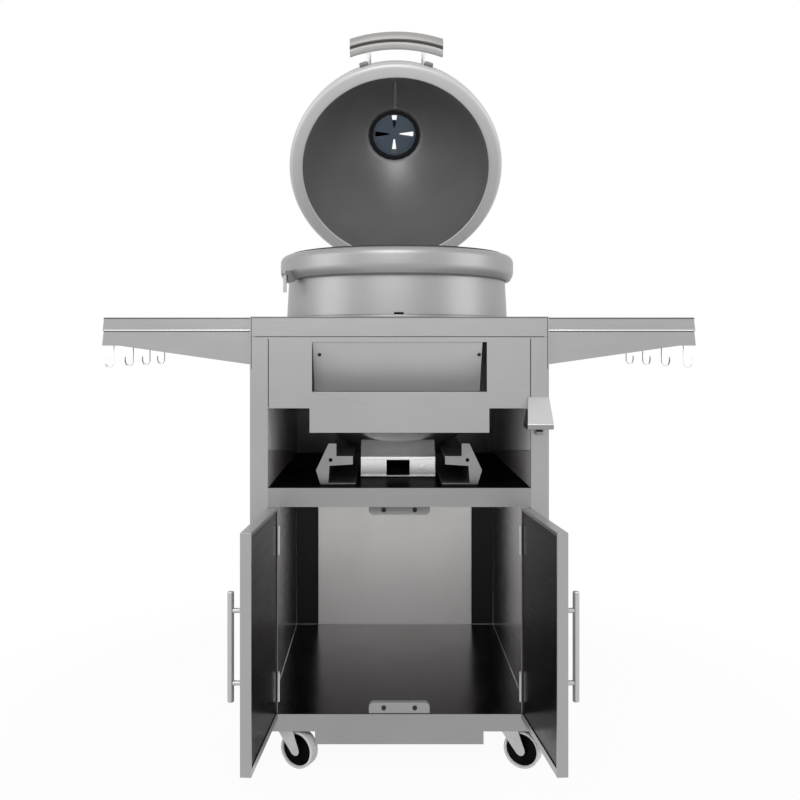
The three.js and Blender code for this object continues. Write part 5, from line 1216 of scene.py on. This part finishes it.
# Where the groove lies round the grip's section, and how many degrees either side of it are painted dark:
# painted shade in the groove
GROOVE_TURN = -104  # degrees
GROOVE_SHADE = 9  # degrees
GRIP_POST_X = 67 * MM
GRIP_POST_RADIUS = 6 * MM
PAD_HALF = Vector((11 * MM, 4 * MM, 8 * MM))
PAD_TURN = 17  # degrees
PIN_RADIUS, PIN_TIP = 6 * MM, 5 * MM


class GRILL_OT_lid(GrillBuild, Operator):
    """Makes the lid with its handle and its hinge"""

    bl_idname = "grill.lid"
    bl_label = "Lid"

    def execute(self, context):
        self.shell(context)
        self.handle()
        skin("lid_hinge_arm", "grey_metal", finish("grey_casting"))
        skin("lid_hinge_base", "grey_metal", finish("grey_casting"))
        self.pin()
        return {"FINISHED"}

    def shell(self, context):
        casting = context.scene.grill_casting
        inner_round = casting.rim_round
        rim = arc_points((LID_RIM_RADIUS + inner_round, inner_round), inner_round, 180, 270, 6)
        rim += arc_points((LID_RADIUS - OUTER_ROUND, OUTER_ROUND), OUTER_ROUND, -90, -8, 8)
        inner_top, outer_top = LID_HEIGHTS
        profile = rim + dome(LID_RADIUS, outer_top, OUTER_ROUND + 2 * MM)
        profile += [(LID_BORE, outer_top), (LID_BORE, inner_top)]
        profile += list(reversed(dome(LID_RIM_RADIUS, inner_top, inner_round + 2 * MM)))
        shell = lathe("lid_casting", profile, lid_place(), casting.facets, 40)
        dressed(shell, "lid", "cast_metal", finish("cast_coat"), "kamado_lid")
        back = lid_place().inverted()

        def within(face):
            centre = back @ face.center
            normal = back.to_3x3() @ face.normal
            spread = Vector((centre.x, centre.y, 0))
            side = centre.z > inner_round * 0.9 and normal.dot(spread) < 0 and normal.z < 0.2
            return side or (centre.z > inner_top - 40 * MM and normal.z < -0.3)

        repaint(shell, finish("cast_inside"), within)
        repaint(shell, finish("rim_coat"),
                lambda face: (back @ face.center).z < RIM_BAND and face.material_index == 0)

    def handle(self):
        arch = GRIP_ARCH
        sweep_angle = math.asin((GRIP_HALF + GRIP_SPARE) / arch)
        centre_y = arch - LID_RADIUS - GRIP_REACH
        place = lid_place()
        path = []
        for i in range(33):
            turn = sweep_angle * (2 * i / 32 - 1)
            path.append(place @ Vector((arch * math.sin(turn), centre_y - arch * math.cos(turn), GRIP_RISE)))
        start, end = GROOVE_TURN + GROOVE_HALF, GROOVE_TURN + 360 - GROOVE_HALF
        section = arc_points((0, 0), GRIP_THICK, start, end, 44)
        section += arc_points((0, 0), GRIP_THICK - GROOVE_DEPTH, end, start + 360, 1)
        grip = sweep("grip", path, section, up=LID_DIRECTION)
        self.trimmed(grip, GRIP_HALF)
        eased(grip, 1.2 * MM, 60)
        dressed(grip, "lid", "grey_metal", finish("grip_coat"), "lid_handle")
        back = place.inverted()

        def turn_of(face):
            centre = back @ face.center
            inward = arch - math.hypot(centre.x, centre.y - centre_y)
            return math.degrees(math.atan2(centre.z - GRIP_RISE, inward))

        # Painted shade in the groove
        repaint(grip, finish("grip_seam"), lambda face: abs(turn_of(face) - GROOVE_TURN) < GROOVE_SHADE)
        # Painted light: the grip's underside is painted far lighter than its top
        repaint(grip, finish("grip_underside"),
                lambda face: face.material_index == 0 and abs(turn_of(face)) < abs(GROOVE_TURN))
        for name, side in SIDES:
            x = side * GRIP_POST_X
            grip_y = centre_y - math.sqrt(arch ** 2 - x ** 2)
            lid_y = -math.sqrt(LID_RADIUS ** 2 - x ** 2)
            start = place @ Vector((x, grip_y + 8 * MM, GRIP_RISE))
            end = place @ Vector((x, lid_y + 2 * MM, GRIP_RISE))
            length = (end - start).length
            profile = [(0, 0), (GRIP_POST_RADIUS, 0), (GRIP_POST_RADIUS, length), (0, length)]
            post = lathe(f"{name}_grip_post", profile, facing(start, end - start), 28)
            dressed(post, "lid", "grey_metal", finish("polished_steel"))
            pad = brick(f"{name}_grip_pad", -PAD_HALF, PAD_HALF, 1.5 * MM)
            around = Matrix.Rotation(math.radians(side * PAD_TURN), 4, "Z")
            pad.data.transform(place @ around @ Matrix.Translation((0, -LID_RADIUS, GRIP_RISE)))
            dressed(pad, "lid", "grey_metal", finish("grey_casting"))

    def trimmed(self, obj, half):
        """Cuts both ends of the grip square to its length."""
        bm = bmesh.new()
        bm.from_mesh(obj.data)
        for side in (-1, 1):
            geometry = list(bm.verts) + list(bm.edges) + list(bm.faces)
            cut = bmesh.ops.bisect_plane(bm, geom=geometry, plane_co=(side * half, 0, 0),
                                         plane_no=(side, 0, 0), clear_outer=True)
            edges = [item for item in cut["geom_cut"] if isinstance(item, bmesh.types.BMEdge)]
            bmesh.ops.contextual_create(bm, geom=edges)
        bm.to_mesh(obj.data)
        bm.free()

    def pin(self):
        lowest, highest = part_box("lid_hinge_pin")
        length = highest.x - lowest.x
        centre = (lowest + highest) / 2
        chamfer = PIN_RADIUS - PIN_TIP
        outline = [(0, 0), (PIN_TIP, 0), (PIN_RADIUS, chamfer), (PIN_RADIUS, length - chamfer),
                   (PIN_TIP, length), (0, length)]
        pin = lathe("hinge_pin", outline, facing((lowest.x, centre.y, centre.z), (1, 0, 0)), 32)
        dressed(pin, "cabinet", "bright_metal", finish("bright_steel"), "lid_hinge_pin")


VENT_PLATE_RADIUS = 62 * MM


class GRILL_OT_top_vent(GrillBuild, Operator):
    """Makes the collar and the turning damper at the top of the lid"""

    bl_idname = "grill.top_vent"
    bl_label = "Top vent"

    def execute(self, context):
        collar = skin("vent_collar", "black_metal", finish("black_iron"))
        back = lid_place().inverted()

        def on_plate(face):
            centre = back @ face.center
            return centre.xy.length < VENT_PLATE_RADIUS and abs(centre.z - DAMPER_HEIGHT) < 6 * MM

        repaint(collar, finish("plate_coat"), on_plate)
        skin("vent_damper", "slate_metal", finish("slate_coat"))
        return {"FINISHED"}


CASE_DEPTH = 25 * MM  # behind the dial, where the probe begins
DIAL_RADIUS = 31.6 * MM
DIAL_START, DIAL_SWEEP = 225, 270  # degrees
DIAL_MARKS = 27
LONG_MARK, SHORT_MARK = (24 * MM, 0.55 * MM), (26.5 * MM, 0.3 * MM)  # inner radius and half width
MARK_END = 29.5 * MM
NUMBER_RADIUS = 18 * MM


class GRILL_OT_thermometer(GrillBuild, Operator):
    """Makes the thermometer in the lid's front, with its dial and needle"""

    bl_idname = "grill.thermometer"
    bl_label = "Thermometer"

    def execute(self, context):
        gauge = skin("thermometer", "bright_metal", finish("bright_steel"))
        joint = JOINTS["thermometer_needle_turn"]
        out = Vector(joint["axis"]).normalized()
        pivot = Vector(joint["pos_m"])
        repaint(gauge, finish("probe_steel"), lambda face: (face.center - pivot).dot(out) < -CASE_DEPTH)
        skin("thermometer_needle", "needle_red", finish("needle_paint"))
        top = LID_DIRECTION - out * LID_DIRECTION.dot(out)
        top.normalize()
        self.dial(basis(pivot - out * 0.3 * MM, top.cross(out), top, out))
        return {"FINISHED"}

    def dial(self, place):
        half = 0.1 * MM
        outline = [(0, -half), (DIAL_RADIUS, -half), (DIAL_RADIUS, half), (0, half)]
        disc = lathe("dial_face", outline, place, 64)
        dressed(disc, "lid", "bright_metal", finish("dial_paint"))
        marks = []
        for i in range(DIAL_MARKS + 1):
            turn = math.radians(DIAL_START - DIAL_SWEEP * i / DIAL_MARKS)
            start, wide = LONG_MARK if i % 3 == 0 else SHORT_MARK
            bar = brick("mark", (start, -wide, 0), (MARK_END, wide, 0.16 * MM))
            bar.data.transform(place @ Matrix.Rotation(turn, 4, "Z"))
            marks.append(bar)
        for i in range(0, 10, 3):
            turn = math.radians(DIAL_START - DIAL_SWEEP * i / 9)
            marks.append(self.number(str(50 + 50 * i), turn, place))
        dressed(joined("dial_marks", marks), "lid", "black_metal", finish("dial_ink"))

    def number(self, words, turn, place):
        """One number of the dial, as a mesh."""
        text = bpy.data.curves.new("number", "FONT")
        text.body = words
        text.size = 6 * MM
        text.extrude = 0.08 * MM
        text.align_x = "CENTER"
        text.align_y = "CENTER"
        number = linked("number", text)
        spot = (NUMBER_RADIUS * math.cos(turn), NUMBER_RADIUS * math.sin(turn), 0.14 * MM)
        number.matrix_world = place @ Matrix.Translation(spot)
        bpy.context.view_layer.update()
        graph = bpy.context.evaluated_depsgraph_get()
        solid = linked("number_mesh", bpy.data.meshes.new_from_object(number.evaluated_get(graph)))
        solid.matrix_world = number.matrix_world.copy()
        bpy.data.objects.remove(number)
        return solid


class GRILL_OT_latch(GrillBuild, Operator):
    """Makes the latch on the bowl's left side"""

    bl_idname = "grill.latch"
    bl_label = "Side latch"

    def execute(self, context):
        skin("latch_base", "grey_metal", finish("grey_casting"))
        skin("latch_lever", "bright_metal", finish("bright_steel"))
        return {"FINISHED"}


class GRILL_PT_panel(Panel):
    """The building steps and their sizes and colours"""

    bl_label = "Grill Table"
    bl_idname = "GRILL_PT_panel"
    bl_space_type = "VIEW_3D"
    bl_region_type = "UI"
    bl_category = "Grill Table"

    def draw(self, context):
        layout = self.layout
        for step in STEPS:
            layout.operator(step.bl_idname)
        for group in GROUPS:
            box = layout.box()
            settings = getattr(context.scene, GROUPS[group])
            for name in group.__annotations__:
                box.prop(settings, name)


GROUPS = {
    GrillSteel: "grill_steel",
    GrillCasting: "grill_casting",
    GrillFittings: "grill_fittings",
    GrillStudio: "grill_studio",
}

STEPS = (
    GRILL_OT_stage,
    GRILL_OT_cabinet,
    GRILL_OT_doors,
    GRILL_OT_catches,
    GRILL_OT_shelves,
    GRILL_OT_casters,
    GRILL_OT_bowl,
    GRILL_OT_lower_vent,
    GRILL_OT_lid,
    GRILL_OT_top_vent,
    GRILL_OT_thermometer,
    GRILL_OT_latch,
)

CLASSES = (*GROUPS, *STEPS, GRILL_PT_panel)


def register():
    for cls in CLASSES:
        bpy.utils.register_class(cls)
    for group, name in GROUPS.items():
        setattr(bpy.types.Scene, name, PointerProperty(type=group))


def unregister():
    for name in GROUPS.values():
        delattr(bpy.types.Scene, name)
    for cls in reversed(CLASSES):
        bpy.utils.unregister_class(cls)


def main():
    register()
    for step in STEPS:
        group, name = step.bl_idname.split(".")
        getattr(getattr(bpy.ops, group), name)()
    bpy.context.view_layer.update()


if __name__ == "__main__":
    main()
